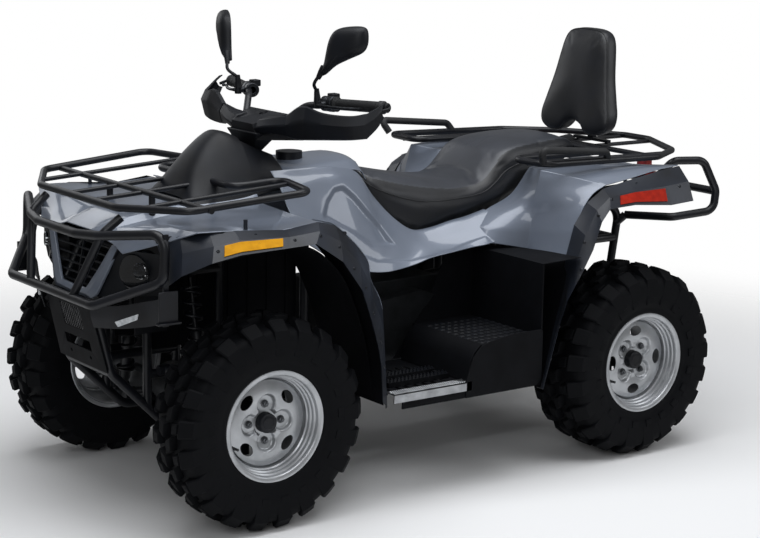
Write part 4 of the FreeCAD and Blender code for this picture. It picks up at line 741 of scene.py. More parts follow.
def puffed(made, voxel, cap, pressure, pinned):
    """Swells a closed pad as stuffed cloth: remeshed evenly, blown up with its seams held, and
    no point moved further than a cap. Sizes in mm; pinned tells the held points of an array."""
    remesh = made.modifiers.new("Even", "REMESH")
    remesh.mode = "VOXEL"
    remesh.voxel_size = voxel * MM
    settle(made)
    mesh = made.data
    rest = coordinates(mesh)
    held = made.vertex_groups.new(name="Seam")
    held.add(np.flatnonzero(pinned(rest / MM)).tolist(), 1.0, "REPLACE")
    cloth = made.modifiers.new("Cover", "CLOTH")
    cloth.settings.quality = 4
    cloth.settings.mass = 0.3
    cloth.settings.tension_stiffness = cloth.settings.compression_stiffness = 18
    cloth.settings.bending_stiffness = 2
    cloth.settings.use_pressure = True
    cloth.settings.uniform_pressure_force = pressure
    cloth.settings.vertex_group_mass = "Seam"
    cloth.settings.effector_weights.gravity = 0
    for number in range(1, CLOTH_FRAMES + 1):
        bpy.context.scene.frame_set(number)
    graph = bpy.context.evaluated_depsgraph_get()
    swollen = coordinates(made.evaluated_get(graph).data)
    made.modifiers.clear()
    bpy.context.scene.frame_set(1)
    step = swollen - rest
    length = np.linalg.norm(step, axis=1)[:, None]
    rest = rest + step * np.minimum(1, cap * MM / np.maximum(length, 1e-9))
    mesh.vertices.foreach_set("co", rest.astype(np.float32).ravel())
    relax = made.modifiers.new("Relax", "SMOOTH")
    relax.factor = 0.5
    relax.iterations = 4
    settle(made)
    made.data.shade_smooth()
    return made


def coordinates(mesh):
    """A mesh's points as an array."""
    flat = np.zeros(len(mesh.vertices) * 3, np.float32)
    mesh.vertices.foreach_get("co", flat)
    return flat.reshape(-1, 3).astype(float)


def surface_tree(made):
    """Search tree of a piece's final mesh, in metres."""
    graph = bpy.context.evaluated_depsgraph_get()
    return BVHTree.FromObject(made, graph)


def laid_on(tree, points, direction, lift=0.0, reach=400.0):
    """Points in mm moved along a direction until they meet a surface, then lifted off it.
    Returns the points and the surface's normals there; a ray that misses is left out."""
    way = Vector(direction).normalized()
    found, normals = [], []
    for point in np.asarray(points, float):
        start = Vector(point) * MM - way * reach * MM
        place, normal, _, _ = tree.ray_cast(start, way, 2 * reach * MM)
        if place is None:
            continue
        if normal.dot(way) > 0:
            normal = -normal
        found.append(np.array(place) / MM + np.array(normal) * lift)
        normals.append(np.array(normal))
    return np.array(found), np.array(normals)


# Seat stations: x, half width, lowest and highest z.
SEAT_ROWS = [
    (100, 60, 925, 946), (92, 92, 890, 957), (52, 132, 812, 945), (-97, 163, 742, 915),
    (-250, 176, 774, 893), (-345, 180, 792, 902), (-400, 178, 802, 948), (-440, 174, 812, 992),
    (-500, 168, 830, 1012), (-600, 160, 865, 1018), (-720, 143, 925, 1016), (-780, 122, 952, 996),
    (-792, 92, 965, 985),
]
# Half section: share of the half width, share of the height. The welt lies at entry 4 and the
# edge of the top at entry 6.
SEAT_SECTION = [(0.0, 0.0), (0.93, 0.0), (0.985, 0.08), (1.0, 0.34), (0.985, 0.60), (0.97, 0.74),
                (0.87, 0.90), (0.60, 0.965), (0.30, 0.992), (0.0, 1.0)]
WELT, EDGE = 4, 6


def seat_point(rows, share_y, share_z, side=1):
    """Place on the seat at each station for shares of its half width and height."""
    x, half, low, high = np.asarray(rows, float).T
    return np.stack([x, side * half * share_y, low + (high - low) * share_z], -1)


def make_seat():
    """Two-step seat: one half section, scaled by each station's width and height, carried
    along a smooth curve through the stations, swollen as a stuffed cover, with welts."""
    rows = curve_through(SEAT_ROWS, per=7)
    half = curve_through(SEAT_SECTION, per=5)
    around = np.concatenate([half, (half * [-1, 1])[-2:0:-1]])
    rings = np.stack([seat_point(rows, a, b) for a, b in around], 1)
    made = piece("seat_cover", capped(drawn(rings)), "vinyl", smooth=180)
    welts = [drawn(seat_point(rows[6:-4], *SEAT_SECTION[k], side)) for k in (WELT, EDGE)
             for side in (1, -1)]

    def held(points):
        near = np.full(len(points), np.inf)
        for line in welts[:2]:
            gap = np.linalg.norm(points[:, None, [0, 2]] - line[None, :, [0, 2]], axis=2).min(1)
            near = np.minimum(near, gap)
        return (near < 5) & (np.abs(points[:, 1]) > 90) | (points[:, 2] < 745)

    puffed(made, 6.5, 7.0, 3.0, held)
    shade_top(made, rows)
    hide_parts("seat")
    tree = surface_tree(made)
    lines = []
    for line in welts[:2]:
        line = line[np.argsort(line[:, 0])]
        for side in (1, -1):
            start = line * [1, side, 1]
            place, _ = laid_on(tree, start, (0, -side, 0), 0.4, 60)
            lines.append(pipe(place[::2], 1.7, 8))
    piece("seat_welts", lines, "welt", smooth=60)


def shade_top(made, rows):
    """The seat's top, above its upper edge, is of a smoother and paler vinyl."""
    mesh = made.data
    mesh.materials.append(FINISH["vinyl_top"])
    count = len(mesh.polygons)
    centres = np.zeros(count * 3, np.float32)
    mesh.polygons.foreach_get("center", centres)
    centres = centres.reshape(-1, 3) / MM
    order = np.argsort(rows[:, 0])
    x = rows[order, 0] + SHIFT
    low = np.interp(centres[:, 0], x, rows[order, 2])
    high = np.interp(centres[:, 0], x, rows[order, 3])
    half = np.interp(centres[:, 0], x, rows[order, 1])
    share = (centres[:, 2] - low) / (high - low)
    inside = np.abs(centres[:, 1]) < half * 0.86
    top = (share > SEAT_SECTION[EDGE][1] - 0.02) | (inside & (share > 0.82))
    mesh.polygons.foreach_set("material_index", top.astype(np.int32))


BACK_OUTLINE = [(0, 1364), (52, 1362), (88, 1350), (108, 1322), (121, 1272), (137, 1195),
                (160, 1115), (174, 1062), (166, 1026), (132, 1006), (92, 1001), (60, 1010),
                (38, 1032), (0, 1044)]
# Rings of the backrest from its back to its front: x, inset.
BACK_RINGS = [(-72, 60), (-74, 40), (-66, 16), (-56, 4), (-44, 0), (-24, 0), (-12, 3), (-5, 10),
              (0, 24), (3, 46)]


def back_plane(z):
    """x of the backrest's plane in the drawing: it leans back 57 mm over 350 mm of height."""
    return -868.0 - 57.0 * (z - 1010) / 350


def make_backrest():
    """Backrest pad: one outline, each ring of it drawn in towards its middle by an inset, from
    the flat back over the widest ring to a crowned front."""
    right = np.array(BACK_OUTLINE, float)
    ring = np.concatenate([right, (right * [-1, 1])[-2:0:-1]])
    ring = curve_through(ring, per=6, closed=True)
    centre = np.array([0, 1190.0])
    spoke = ring - centre
    reach = np.linalg.norm(spoke, axis=1)[:, None]
    rings = []
    for x, inset in BACK_RINGS:
        flat = centre + spoke * (1 - inset / reach)
        rings.append(np.stack([back_plane(flat[:, 1]) + x, flat[:, 0], flat[:, 1]], -1))
    made = piece("backrest_pad", capped(drawn(rings)), "vinyl", smooth=180)
    edge = drawn(rings[6])

    def held(points):
        gap = np.linalg.norm(points[:, None] - edge[None, ::2], axis=2).min(1)
        return (gap < 5) | (points[:, 0] < back_plane(points[:, 2]) + SHIFT - 50)

    puffed(made, 5.5, 8.0, 4.0, held)
    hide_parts("backrest")
    piece("backrest_welt", [pipe(edge, 1.8, 8, closed=True)], "welt", smooth=60)


GRIP_INNER, GRIP_OUTER = drawn([(300, 250, 1190.5), (254, 420, 1195.8)])
BAR = (GRIP_OUTER - GRIP_INNER) / np.linalg.norm(GRIP_OUTER - GRIP_INNER)


RIB_PITCH = 4.1


def make_grips():
    """Ribbed rubber sleeves: a radius that steps along the bar, with a flange at each end."""
    steps = [(0, 11.1), (0, 23), (5, 23.4), (7, 18)]
    for k in range(38):
        start = 9 + RIB_PITCH * k
        steps += [(start, 16.2), (start + 0.5, 17.4), (start + 2.9, 17.4), (start + 3.4, 16.2)]
    steps += [(168, 17.6), (172, 20), (187, 20), (190, 17), (190, 11.1)]
    sleeve = revolved([(r, y) for y, r in steps], 28)
    grip = moved(sleeve, GRIP_INNER, aimed(BAR))
    made = piece("grip_sleeves", both([grip]), "grip", "steering", smooth=50)
    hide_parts("grips")


# Mirror head seen from ahead: distance along its own plane from the stalk's bend, height.
MIRROR_OUTLINE = [(14, 1284), (26, 1315), (34, 1352), (43, 1388), (59, 1415), (89, 1429),
                  (140, 1435), (165, 1431), (173, 1413), (171, 1380), (154, 1356), (107, 1334),
                  (62, 1312), (26, 1283)]


def make_mirrors(turn):
    """Mirrors: jointed stalks, flat glasses, and tear-shaped shells whose outline shrinks
    towards its middle with its depth. They are turned to the rider by an angle."""
    perch = GRIP_INNER - BAR * 24 + [46, 0, 0]
    base = perch + [0, 0, 12.3]
    along = np.array([-math.sin(turn), math.cos(turn), 0])
    ahead = np.array([math.cos(turn), math.sin(turn), 0])
    bend = drawn((377, 251, 0))
    ring = curve_through(MIRROR_OUTLINE, per=4, closed=True)
    middle = np.array([112, 1378.0])

    def section(depth, share):
        flat = middle + (ring - middle) * share
        return bend + along * flat[:, :1] + [0, 0, 1] * flat[:, 1:] + ahead * depth

    shell = capped([section(d, k) for d, k in (
        (-12, 0.88), (-16, 0.92), (-16, 0.98), (-10, 1.0), (-2, 0.985), (8, 0.92), (16, 0.78),
        (21, 0.58), (24, 0.34), (25, 0.12))])
    glass = capped([section(d, k) for d, k in ((-13, 0.90), (-14.4, 0.895), (-14.6, 0.5))])
    neck = bend + along * 14 + [0, 0, 1283]
    stalk = curve_through([base + [0, 0, 2], base + [3, -1, 28], bend + [2, -4, 1255],
                           neck, neck + along * 26 + [0, 0, 30]], per=8)
    boots = pipe(curve_through([base - [0, 0, 4], base + [1, 0, 8], base + [2, -1, 22],
                                base + [3, -1, 36]], per=4), np.linspace(12, 7.5, 13), 16)
    collar = pipe([neck - along * 5 - [0, 0, 10], neck + along * 6 + [0, 0, 10],
                   neck + along * 16 + [0, 0, 24]], [7.5, 10, 12], 16)
    parts = [pipe(stalk, 5.2, 14), boots, shell, collar]
    made = piece("mirror_shells", both(parts), "plastic", "steering", smooth=40)
    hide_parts("mirrors")
    piece("mirror_glasses", both([glass]), "mirror", "steering", smooth=40)


# Hand guard stations along the bar: x, y, and the heights of its foot, crease and top.
GUARD_STATIONS = [(438, 186, 1090, 1128, 1158), (431, 238, 1087, 1142, 1188),
                  (428, 278, 1090, 1152, 1193), (409, 340, 1096, 1146, 1178),
                  (367, 414, 1102, 1146, 1175), (330, 450, 1108, 1152, 1184),
                  (300, 461, 1140, 1172, 1202), (280, 466, 1172, 1192, 1214)]


def make_hand_guards():
    """Hand guards: creased shells from the pod round to the bar's ends, with their brackets."""
    rows = []
    for x, y, low, crease, top in GUARD_STATIONS:
        rows.append([(x - 10, y - 8, low), (x, y, low + 4), (x + 9, y + 5, crease),
                     (x - 1, y - 1, top - 3), (x - 9, y - 8, top)])
    shell = sheet(patch(drawn(rows), 5, rows=(2, 5), columns=(1, 2, 3)), 3.0)
    end = GRIP_OUTER + BAR * 16
    bracket = pipe(curve_through([end, end + BAR * 14, end + BAR * 22 + [12, -2, -4],
                                  end + BAR * 16 + [40, -4, -10]], 5), 5, 12)
    cap = moved(dome([(0, 0), (14, 0), (15, 2), (15, 9), (12, 12), (0, 12.5)], 24), end,
                aimed(BAR))
    wing = capped(drawn([
        [(432, 196, 1092), (446, 190, 1128), (430, 192, 1160), (412, 192, 1150),
         (412, 192, 1096)],
        [(458, 120, 1098), (472, 118, 1118), (452, 120, 1144), (424, 120, 1146),
         (424, 120, 1096)],
        [(466, 64, 1084), (480, 62, 1108), (458, 64, 1134), (420, 64, 1142),
         (420, 64, 1082)]]))
    neck = capped(drawn([[(front, -half, z), (front, half, z), (back, half * 0.8, z),
                          (back, -half * 0.8, z)] for front, back, half, z in (
        (484, 392, 88, 1094), (474, 400, 62, 1062), (460, 412, 38, 1040),
        (446, 420, 18, 1023))]))
    made = piece("guard_shells", both([shell, bracket, cap]), "plastic",
                 "steering", smooth=32)
    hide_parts("hand_guards")
    piece("guard_wings", both([wing]) + [neck], "plastic", "steering", bevel=4,
          smooth=30)


def make_switches():
    """Clamps, levers and switch blocks on the bar."""
    inner = GRIP_INNER - BAR * 3
    clamp = revolved([(11.2, -46), (21, -46), (23.5, -43), (23.5, -27), (20, -25), (20, -22),
                      (24.5, -20), (24.5, -4), (21, -1), (11.2, -1)], 36)
    switch = moved(clamp, inner, aimed(BAR))
    pivot = inner - BAR * 20 + [46, 0, 0]
    lever = curve_through([pivot + [2, 6, 0], pivot + BAR * 34 + [14, 0, -2],
                           pivot + BAR * 90 + [10, 0, -5], pivot + BAR * 150 + [-6, 0, -6],
                           pivot + BAR * 168 + [2, 0, -6]], 8)
    blade = pipe(lever, np.interp(np.arange(len(lever)), [0, 6, len(lever) - 4, len(lever) - 1],
                                  [8, 5.2, 4.8, 6.5]), 12)
    arm = pipe([inner - BAR * 20 + [14, 0, 0], pivot], [10, 9], 14)
    stem = moved(dome([(0, -12), (11, -12), (11, 12), (0, 12)], 24), pivot,
                 aimed((0, 0, 1)))
    made = piece("bar_controls", both([switch, blade, arm, stem]), "zinc_black",
                 "steering", bevel=0.8, smooth=30)
    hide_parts("controls")
    low = inner - BAR * 24 + [-16, 0, 4]
    keys = [box_shape(low + [-14, -15, 6], low + [14, 15, 27]),
            box_shape(low + [-20, -6, 10], low + [-12, 6, 20])]
    piece("switch_blocks", both(keys), "plastic", "steering", bevel=2.5,
          smooth=30)


LAMP_LOOK = np.array([0.9, 0.42, 0]) / math.hypot(0.9, 0.42)


def make_lamps():
    """Headlamps: a dark glossy face with a small bright reflector, its bulb and a clear lens."""
    face = drawn((1000, 262, 748))
    turn = aimed(LAMP_LOOK)
    body = dome([(0, -38), (52, -38), (52, 8), (50.5, 10), (44, 11), (0, 11.5)], 64)
    made = piece("headlamp_bodies", both([moved(body, face, turn)]), "lamp",
                 smooth=40)
    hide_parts("headlamps")
    place = drawn((988, 289, 756)) + LAMP_LOOK * 12
    bowl = dome([(0, 0), (20, 0), (22.5, 2), (23.5, 8), (22.5, 9), (21, 8), (17, 4), (10, 1.6),
                 (0, 1)], 48)
    bulb = dome([(0, 0), (4, 0), (4.4, 5), (3.4, 8), (0, 9)], 24)
    lens = dome([(0, 9.2), (22.4, 9.2), (22.0, 10.6), (14, 13), (0, 14)], 48)
    piece("headlamp_bowls", both([moved(s, place, turn) for s in (bowl, bulb)]), "mirror",
          smooth=40)
    piece("headlamp_lenses", both([moved(lens, place, turn)]), "smoked_glass",
          smooth=50)


# Left half of the U surround, from its top to the middle: outer edge, inner edge.
SURROUND = [((1031, 226, 826), (1034, 186, 818)), ((1046, 180, 742), (1048, 138, 750)),
            ((1061, 134, 662), (1062, 88, 686)), ((1065, 112, 648), (1065, 76, 674)),
            ((1066, 0, 646), (1066, 0, 672))]


def make_nose():
    """Front of the bike: ridged U surround, dark duct, slanted marker lenses, guard straps."""
    pairs = SURROUND + [tuple((x, -y, z) for x, y, z in pair) for pair in SURROUND[-2::-1]]
    rings = []
    for outer, inner in drawn(pairs):
        middle = (outer + inner) / 2
        rings.append([outer - [9, 0, 0], outer, middle + [6, 0, 0], inner, inner - [9, 0, 0]])
    made = piece("nose_surround", capped(np.array(rings)), "silver", bevel=1.5,
                 smooth=18)
    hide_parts("fascia_surround")
    wall = [(892, 560), (998, 560), (998, 806), (892, 822)]
    duct = [drawn_box((892, -250, 560), (896, 250, 846))]
    duct += both([prism(drawn_pairs(wall), 1, 250, 254)])
    straps = both([drawn_box((968, 446, 636), (1030, 451, 724)),
                   drawn_box((964, 440, 630), (1037, 464, 636))])
    piece("nose_duct", duct, "plastic", smooth=30)
    piece("guard_straps", straps, "steel", bevel=1.5, smooth=30)
    corners = drawn([(1055, 241, 604), (1050, 252, 590), (1022, 314, 620), (1020, 318, 638)])
    lens = capped([corners - LAMP_LOOK * 3, corners + LAMP_LOOK * 5])
    made = piece("marker_lenses", both([lens]), "clear", bevel=2, smooth=30)
    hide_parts("front_markers")


def make_screws():
    """Button-head screws on the arch mouldings, laid on them from the side."""
    tree = {name: surface_tree(NODES[name]) for name in ("front_flares", "rear_flares")}
    rows = {
        "front_flares": [(900, 846), (770, 855), (650, 855), (560, 858), (495, 820), (447, 752),
                         (402, 690), (374, 610), (345, 520), (328, 440), (305, 350)],
        "rear_flares": [(-318, 380), (-352, 480), (-384, 570), (-424, 660), (-452, 742),
                        (-500, 825), (-560, 872), (-700, 880), (-860, 890)],
    }
    heads = []
    for name, places in rows.items():
        points = drawn([(x, 700, z) for x, z in places])
        found, normals = laid_on(tree[name], points, (0, -1, 0), -0.3, 400)
        heads += [moved(screw_head(5.2, 3.0), p, aimed(n)) for p, n in zip(found, normals)]
    piece("flare_screws", both(heads), "zinc_black", smooth=40)


def lattice(centre, along, across, half_along, half_across, pitch, radius):
    """Diagonal wires both ways, clipped to a rectangle: the lines u + v = k p and u - v = k p."""
    centre, along, across = (np.asarray(v, float) for v in (centre, along, across))
    wires = []
    reach = half_along + half_across
    for sign in (1, -1):
        for k in np.arange(-reach + pitch / 2, reach, pitch):
            low = max(-half_along, k - half_across)
            high = min(half_along, k + half_across)
            if high - low < 3:
                continue
            ends = [centre + along * u + across * sign * (k - u) for u in (low, high)]
            wires.append(pipe(ends, radius, 6))
    return wires


def make_mesh(pitch):
    """Wire mesh of that pitch in the upper window of the plate ahead of the frame."""
    low, high = np.array([1012, 0, 420.0]), np.array([1057, 0, 600.0])
    along = (high - low) / np.linalg.norm(high - low)
    out = np.array([along[2], 0, -along[0]])
    foot = low + out * 14.3 + along * 12
    head = high + out * 14.3 + along * 48
    centre = drawn(foot + (head - foot) * 0.70 + out * 2.5)
    wires = lattice(centre, along, (0, 1, 0), 40, 64, pitch, 1.5)
    piece("bash_mesh", wires, "steel", smooth=60)


def tooth_row(start, end, count, size, height):
    """A row of small four-sided teeth standing on a line."""
    start, end = np.asarray(start, float), np.asarray(end, float)
    teeth = []
    square = np.array([(-1, -1), (1, -1), (1, 1), (-1, 1)]) * 0.5
    for t in (np.arange(count) + 0.5) / count:
        place = start + (end - start) * t
        base = np.column_stack([square * size, np.full(4, -0.5)])
        top = np.column_stack([square * size * 0.45, np.full(4, height)])
        teeth.append(moved(capped([base, top]), place))
    return teeth


def make_treads():
    """Teeth on the foot boards and the passenger steps, and studded sill strips."""
    teeth = []
    for y in (404, 420, 474, 490):
        teeth += tooth_row(*drawn([(34, y, 366), (258, y, 366)]), 16, 8, 7)
    for x in (-262, -236, -210, -184, -158, -132, -106, -80, -54):
        teeth += tooth_row(*drawn([(x, 260, 462), (x, 560, 462)]), 9, 20, 3)
    piece("foot_treads", both(teeth), "plastic", smooth=30)
    low, high = 5 + SHIFT, 300 + SHIFT
    plates = [box_shape((low, 572.3, 326), (high, 576, 354)),
              box_shape((low, 536, 350.3), (high, 576, 354))]
    for k, y in enumerate((543, 552, 561, 570)):
        offset = 3.5 * (k % 2)
        plates += tooth_row((low + 4 + offset, y, 354), (high - 4 + offset, y, 354), 38, 6.5, 2.6)
    made = piece("sill_treads", both(plates), "aluminium", smooth=30)
    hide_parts("sill_strips")


PANEL_WALL = 3.5

# Outlines (x, z) on the side panel: the pressed-in field and the raised lip under it.
TANK_RECESS = [(352, 846), (318, 896), (276, 930), (236, 934), (196, 900), (150, 846),
               (104, 800), (58, 728), (170, 742), (262, 800), (310, 826)]
TANK_LIP = [(330, 760), (262, 742), (160, 700), (30, 688), (-130, 706), (-270, 738),
            (-290, 690), (-100, 640), (200, 610), (345, 660)]


def pressed(grid, outline, depth, width):
    """The grid with the field inside an outline (x, z) pressed in: each point there moves in by
    the depth times s^2 (3 - 2 s), where s is its distance from the outline over the width."""
    a = np.asarray(outline, float)
    b = np.roll(a, -1, axis=0)
    place = grid[..., None, [0, 2]]
    along = np.clip(((place - a) * (b - a)).sum(-1) / ((b - a) ** 2).sum(-1), 0, 1)
    gap = np.linalg.norm(place - a - along[..., None] * (b - a), axis=-1).min(-1)
    low, high = place[..., 1] > a[:, 1], place[..., 1] > b[:, 1]
    rise = np.where(b[:, 1] == a[:, 1], 1e-9, b[:, 1] - a[:, 1])
    cross_x = a[:, 0] + (place[..., 1] - a[:, 1]) * (b[:, 0] - a[:, 0]) / rise
    inside = ((low != high) & (place[..., 0] < cross_x)).sum(-1) % 2 == 1
    share = np.clip(gap / width, 0, 1) * inside
    normal = np.cross(np.gradient(grid, axis=0), np.gradient(grid, axis=1))
    normal /= np.maximum(np.linalg.norm(normal, axis=2), 1e-9)[..., None]
    return grid + normal * (depth * share**2 * (3 - 2 * share))[..., None]


def full_width(rows):
    """Rows of (y, z) for the left half, each at its x, as a grid over the whole width."""
    return [[(x, y, z) for y, z in [(-a, b) for a, b in row[:0:-1]] + row] for x, row in rows]


def make_front_fairing():
    """Front mudguards and nose: a raised centre with creased shoulders that run back."""
    rows = [
        (1040, [(0, 842), (85, 842), (118, 832), (205, 822), (262, 803)]),
        (985, [(0, 864), (95, 864), (128, 850), (262, 852), (360, 838)]),
        (930, [(0, 878), (112, 878), (142, 862), (345, 880), (495, 889)]),
        (820, [(0, 896), (124, 896), (156, 878), (356, 880), (500, 885)]),
        (700, [(0, 908), (132, 908), (166, 886), (348, 876), (500, 872)]),
        (600, [(0, 918), (134, 918), (172, 888), (344, 880), (500, 876)]),
        (520, [(0, 932), (136, 932), (176, 892), (340, 884), (500, 881)]),
    ]
    top = patch(drawn(full_width(rows)), 5, rows=(2,), columns=(1, 2, 3, 5, 6, 7))
    strip = [((512, 887), (512, 882)), ((474, 873), (470, 868)), ((402, 812), (396, 806)),
             ((354, 754), (346, 748)), ((342, 695), (332, 690)), ((309, 637), (299, 632)),
             ((297, 599), (286, 594))]
    edge = [[(ox, 501, oz), ((ox + ix) / 2, 470, (oz + iz) / 2), (ix, 440, iz)]
            for (ox, oz), (ix, iz) in strip]
    shapes = [sheet(top, PANEL_WALL)] + both([sheet(patch(drawn(edge), 4), -PANEL_WALL)])
    made = piece("front_panels", shapes, "silver", bevel=2.0, smooth=24)
    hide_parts("front_fairing")


def make_tank_panels():
    """Panels beside the tank and under the seat, with two creases that run down and back."""
    side = [
        (470, [(150, 986), (202, 944), (246, 888), (292, 842), (326, 800)]),
        (385, [(151, 986), (200, 948), (242, 884), (286, 820), (318, 748)]),
        (300, [(152, 986), (196, 950), (236, 880), (272, 790), (302, 690)]),
        (229, [(152, 980), (194, 946), (234, 868), (272, 768), (301, 674)]),
        (150, [(152, 958), (186, 920), (226, 836), (268, 736), (300, 662)]),
        (90, [(160, 880), (184, 858), (222, 788), (264, 716), (300, 664)]),
        (20, [(170, 806), (192, 796), (226, 746), (266, 702), (300, 674)]),
        (-50, [(176, 762), (196, 758), (230, 730), (268, 704), (300, 690)]),
        (-120, [(180, 762), (200, 758), (236, 730), (272, 708), (301, 697)]),
        (-200, [(184, 778), (206, 774), (244, 742), (282, 718), (303, 706)]),
        (-262, [(188, 788), (210, 784), (250, 758), (288, 732), (308, 712)]),
        (-330, [(196, 806), (216, 804), (256, 782), (294, 752), (312, 730)]),
    ]
    grid = patch([[(x, y, z) for y, z in row] for x, row in side], 14)
    grid = drawn(pressed(pressed(grid, TANK_RECESS, 10, 16), TANK_LIP, -4, 8))
    top = [
        (430, [(0, 976), (60, 976), (112, 969), (146, 951)]),
        (380, [(0, 988), (60, 988), (112, 981), (146, 963)]),
        (300, [(0, 991), (60, 991), (112, 984), (146, 966)]),
        (147, [(0, 1001), (55, 999), (105, 989), (146, 963)]),
        (108, [(0, 984), (50, 981), (100, 964), (140, 929)]),
    ]
    lid = patch(drawn(full_width(top)), 5, columns=(1, 5))
    made = piece("tank_shells", [sheet(lid, PANEL_WALL)] + both([sheet(grid, -PANEL_WALL)]),
                 "silver", bevel=1.5, smooth=60)
    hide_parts("tank_panels")


def make_cowl():
    """Cowl over the column: a smooth hood, steeper ahead, with soft shoulders, and two side
    sheets behind it that leave the bar's room free."""
    rows = [
        (742, [(0, 918), (62, 916), (112, 908), (150, 894)]),
        (722, [(0, 958), (62, 953), (110, 930), (150, 896)]),
        (690, [(0, 1008), (58, 998), (106, 954), (151, 899)]),
        (640, [(0, 1062), (54, 1048), (104, 984), (152, 903)]),
        (592, [(0, 1097), (52, 1081), (104, 1003), (153, 908)]),
        (560, [(0, 1098), (53, 1083), (106, 1006), (154, 912)]),
        (520, [(0, 1082), (55, 1068), (109, 1002), (155, 916)]),
    ]
    tail = [[(520, 50, 1070), (520, 109, 1002), (520, 155, 916)],
            [(460, 52, 1043), (460, 111, 992), (460, 155, 924)],
            [(405, 55, 1020), (405, 112, 984), (405, 155, 932)]]
    hood = sheet(patch(drawn(full_width(rows)), 6), -PANEL_WALL)
    sides = both([sheet(patch(drawn(tail), 6), -PANEL_WALL)])
    made = piece("cowl_hood", [hood] + sides, "plastic", smooth=50)
    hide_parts("cowl")


def make_rear_fairing():
    """Rear mudguards: a flat-topped box whose shoulder and waist are creased."""
    rows = [
        [(-240, 240, 712), (-278, 300, 714), (-397, 350, 693), (-418, 425, 690), (-434, 500, 692)],
        [(-262, 226, 757), (-300, 290, 758), (-403, 350, 750), (-432, 425, 756), (-460, 500, 766)],
        [(-330, 206, 800), (-356, 285, 800), (-412, 350, 802), (-452, 425, 818), (-496, 500, 836)],
        [(-440, 205, 846), (-424, 285, 852), (-420, 350, 862), (-466, 430, 870), (-535, 500, 880)],
        [(-518, 205, 930), (-472, 285, 938), (-442, 350, 944), (-512, 440, 926), (-586, 500, 904)],
        [(-600, 205, 932), (-584, 290, 940), (-570, 352, 945), (-640, 455, 934), (-690, 500, 918)],
        [(-760, 205, 926), (-770, 290, 934), (-780, 352, 940), (-806, 455, 942), (-818, 500, 938)],
        [(-990, 205, 906), (-965, 290, 916), (-940, 352, 926), (-918, 455, 940), (-909, 500, 946)],
    ]
    side = patch(drawn(rows), 7, rows=(1, 4), columns=(2,))
    deck = patch(drawn([[(-800, y, 926) for y in (-203, 0, 203)],
                        [(-895, y, 918) for y in (-203, 0, 203)],
                        [(-985, y, 906) for y in (-203, 0, 203)]]), 4)
    made = piece("rear_panels", both([sheet(side, PANEL_WALL)]) + [sheet(deck, PANEL_WALL)],
                 "silver", bevel=2.0, smooth=24)
    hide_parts("rear_fairing")


def make_shields():
    """Dark inner shields, their darkness partly painted shade: the wall behind the steps, and splash
    sheets inside the frame.
    """
    wall = [[(-272, 225, 303), (-272, 400, 303), (-272, 574, 303)],
            [(-272, 225, 500), (-272, 400, 500), (-272, 574, 500)],
            [(-272, 225, 692), (-272, 400, 692), (-272, 574, 692)],
            [(-286, 225, 698), (-390, 400, 697), (-425, 574, 697)]]
    inner = [[(-286, 214, 352), (-120, 214, 352), (40, 214, 352)],
             [(-290, 214, 520), (-190, 206, 520), (-110, 190, 520)],
             [(-300, 206, 716), (-250, 200, 712), (-200, 190, 706)]]
    splash = [drawn_box((345, 103, 470), (872, 106, 770)),
              prism(drawn_pairs([(300, 770), (600, 770), (560, 850), (420, 850)]), 1, 103, 106)]
    ribs = [drawn_box((x, 106, 480), (x + 6, 110, 760))
            for x in (380, 450, 520, 590, 700, 760, 820)]
    linings = [
        ((944, 800), (911, 841), (830, 854), (665, 851), (566, 858), (488, 816), (419, 739),
         (384, 675), (372, 630), (345, 565), (332, 511), (325, 420), (319, 318)),
        ((-304, 282), (-362, 462), (-400, 607), (-424, 670), (-461, 756), (-505, 832),
         (-556, 871), (-661, 882), (-810, 888), (-900, 896))]
    sheets = [sheet(patch(drawn(wall), 6, rows=(2,)), 1.5), sheet(patch(drawn(inner), 5), 3)]
    for line in linings:
        path = curve_through(line, 5)
        sheets.append(sheet(drawn([[(x, y, z) for y in (400, 440, 500, 548)]
                                   for x, z in path]), -2))
    piece("inner_shields", both(sheets + splash + ribs), "matt", smooth=35)


def make_radiator(pitch):
    """Radiator behind the grille: a frame with rows of fine fins at that pitch."""
    x, half, low, high = 905 + SHIFT, 98.0, 560.0, 772.0
    fins = [box_shape((x, -half, z), (x + 22, half, z + 1.6)) for z in np.arange(low, high, pitch)]
    border = [box_shape((x - 4, -half - 14, low - 14), (x + 26, -half, high + 8)),
              box_shape((x - 4, half, low - 14), (x + 26, half + 14, high + 8)),
              box_shape((x - 4, -half, low - 14), (x + 26, half, low)),
              box_shape((x - 4, -half, high), (x + 26, half, high + 8))]
    piece("radiator", fins + border, "cast", smooth=30)


def make_step_cheeks():
    """Sloped fronts and curved side plates of the raised passenger steps."""
    slope = [(-37, 351), (-37, 462), (-30, 460), (-8, 440), (4, 415), (12, 380), (20, 351)]
    cheek = [(-278, 320), (-278, 478), (-268, 484), (-150, 484), (-60, 470), (-28, 458),
             (0, 430), (14, 395), (26, 356), (26, 303), (-250, 303)]
    shapes = [prism(drawn_pairs(slope), 1, 228, 566), prism(drawn_pairs(cheek), 1, 572.4, 576)]
    piece("step_cheeks", both(shapes), "matt", bevel=1.5, smooth=30)


def dress_strips():
    """The rear strips are red, the front ones yellow."""
    mesh = NODES["reflectors"].data
    mesh.materials.clear()
    for key in ("amber_strip", "red_strip"):
        mesh.materials.append(FINISH[key])
    centres = np.zeros(len(mesh.polygons) * 3, np.float32)
    mesh.polygons.foreach_get("center", centres)
    mesh.polygons.foreach_set("material_index",
                              (centres.reshape(-1, 3)[:, 0] < 0).astype(np.int32))


CAMERA_PLACE = (3.693, 5.067, 1.874)
CAMERA_AZIMUTH, CAMERA_ELEVATION, CAMERA_ROLL = -126.11, -11.49, 1.01
CAMERA_LENS = 91.82
STUDIO_LEVEL = 0.17
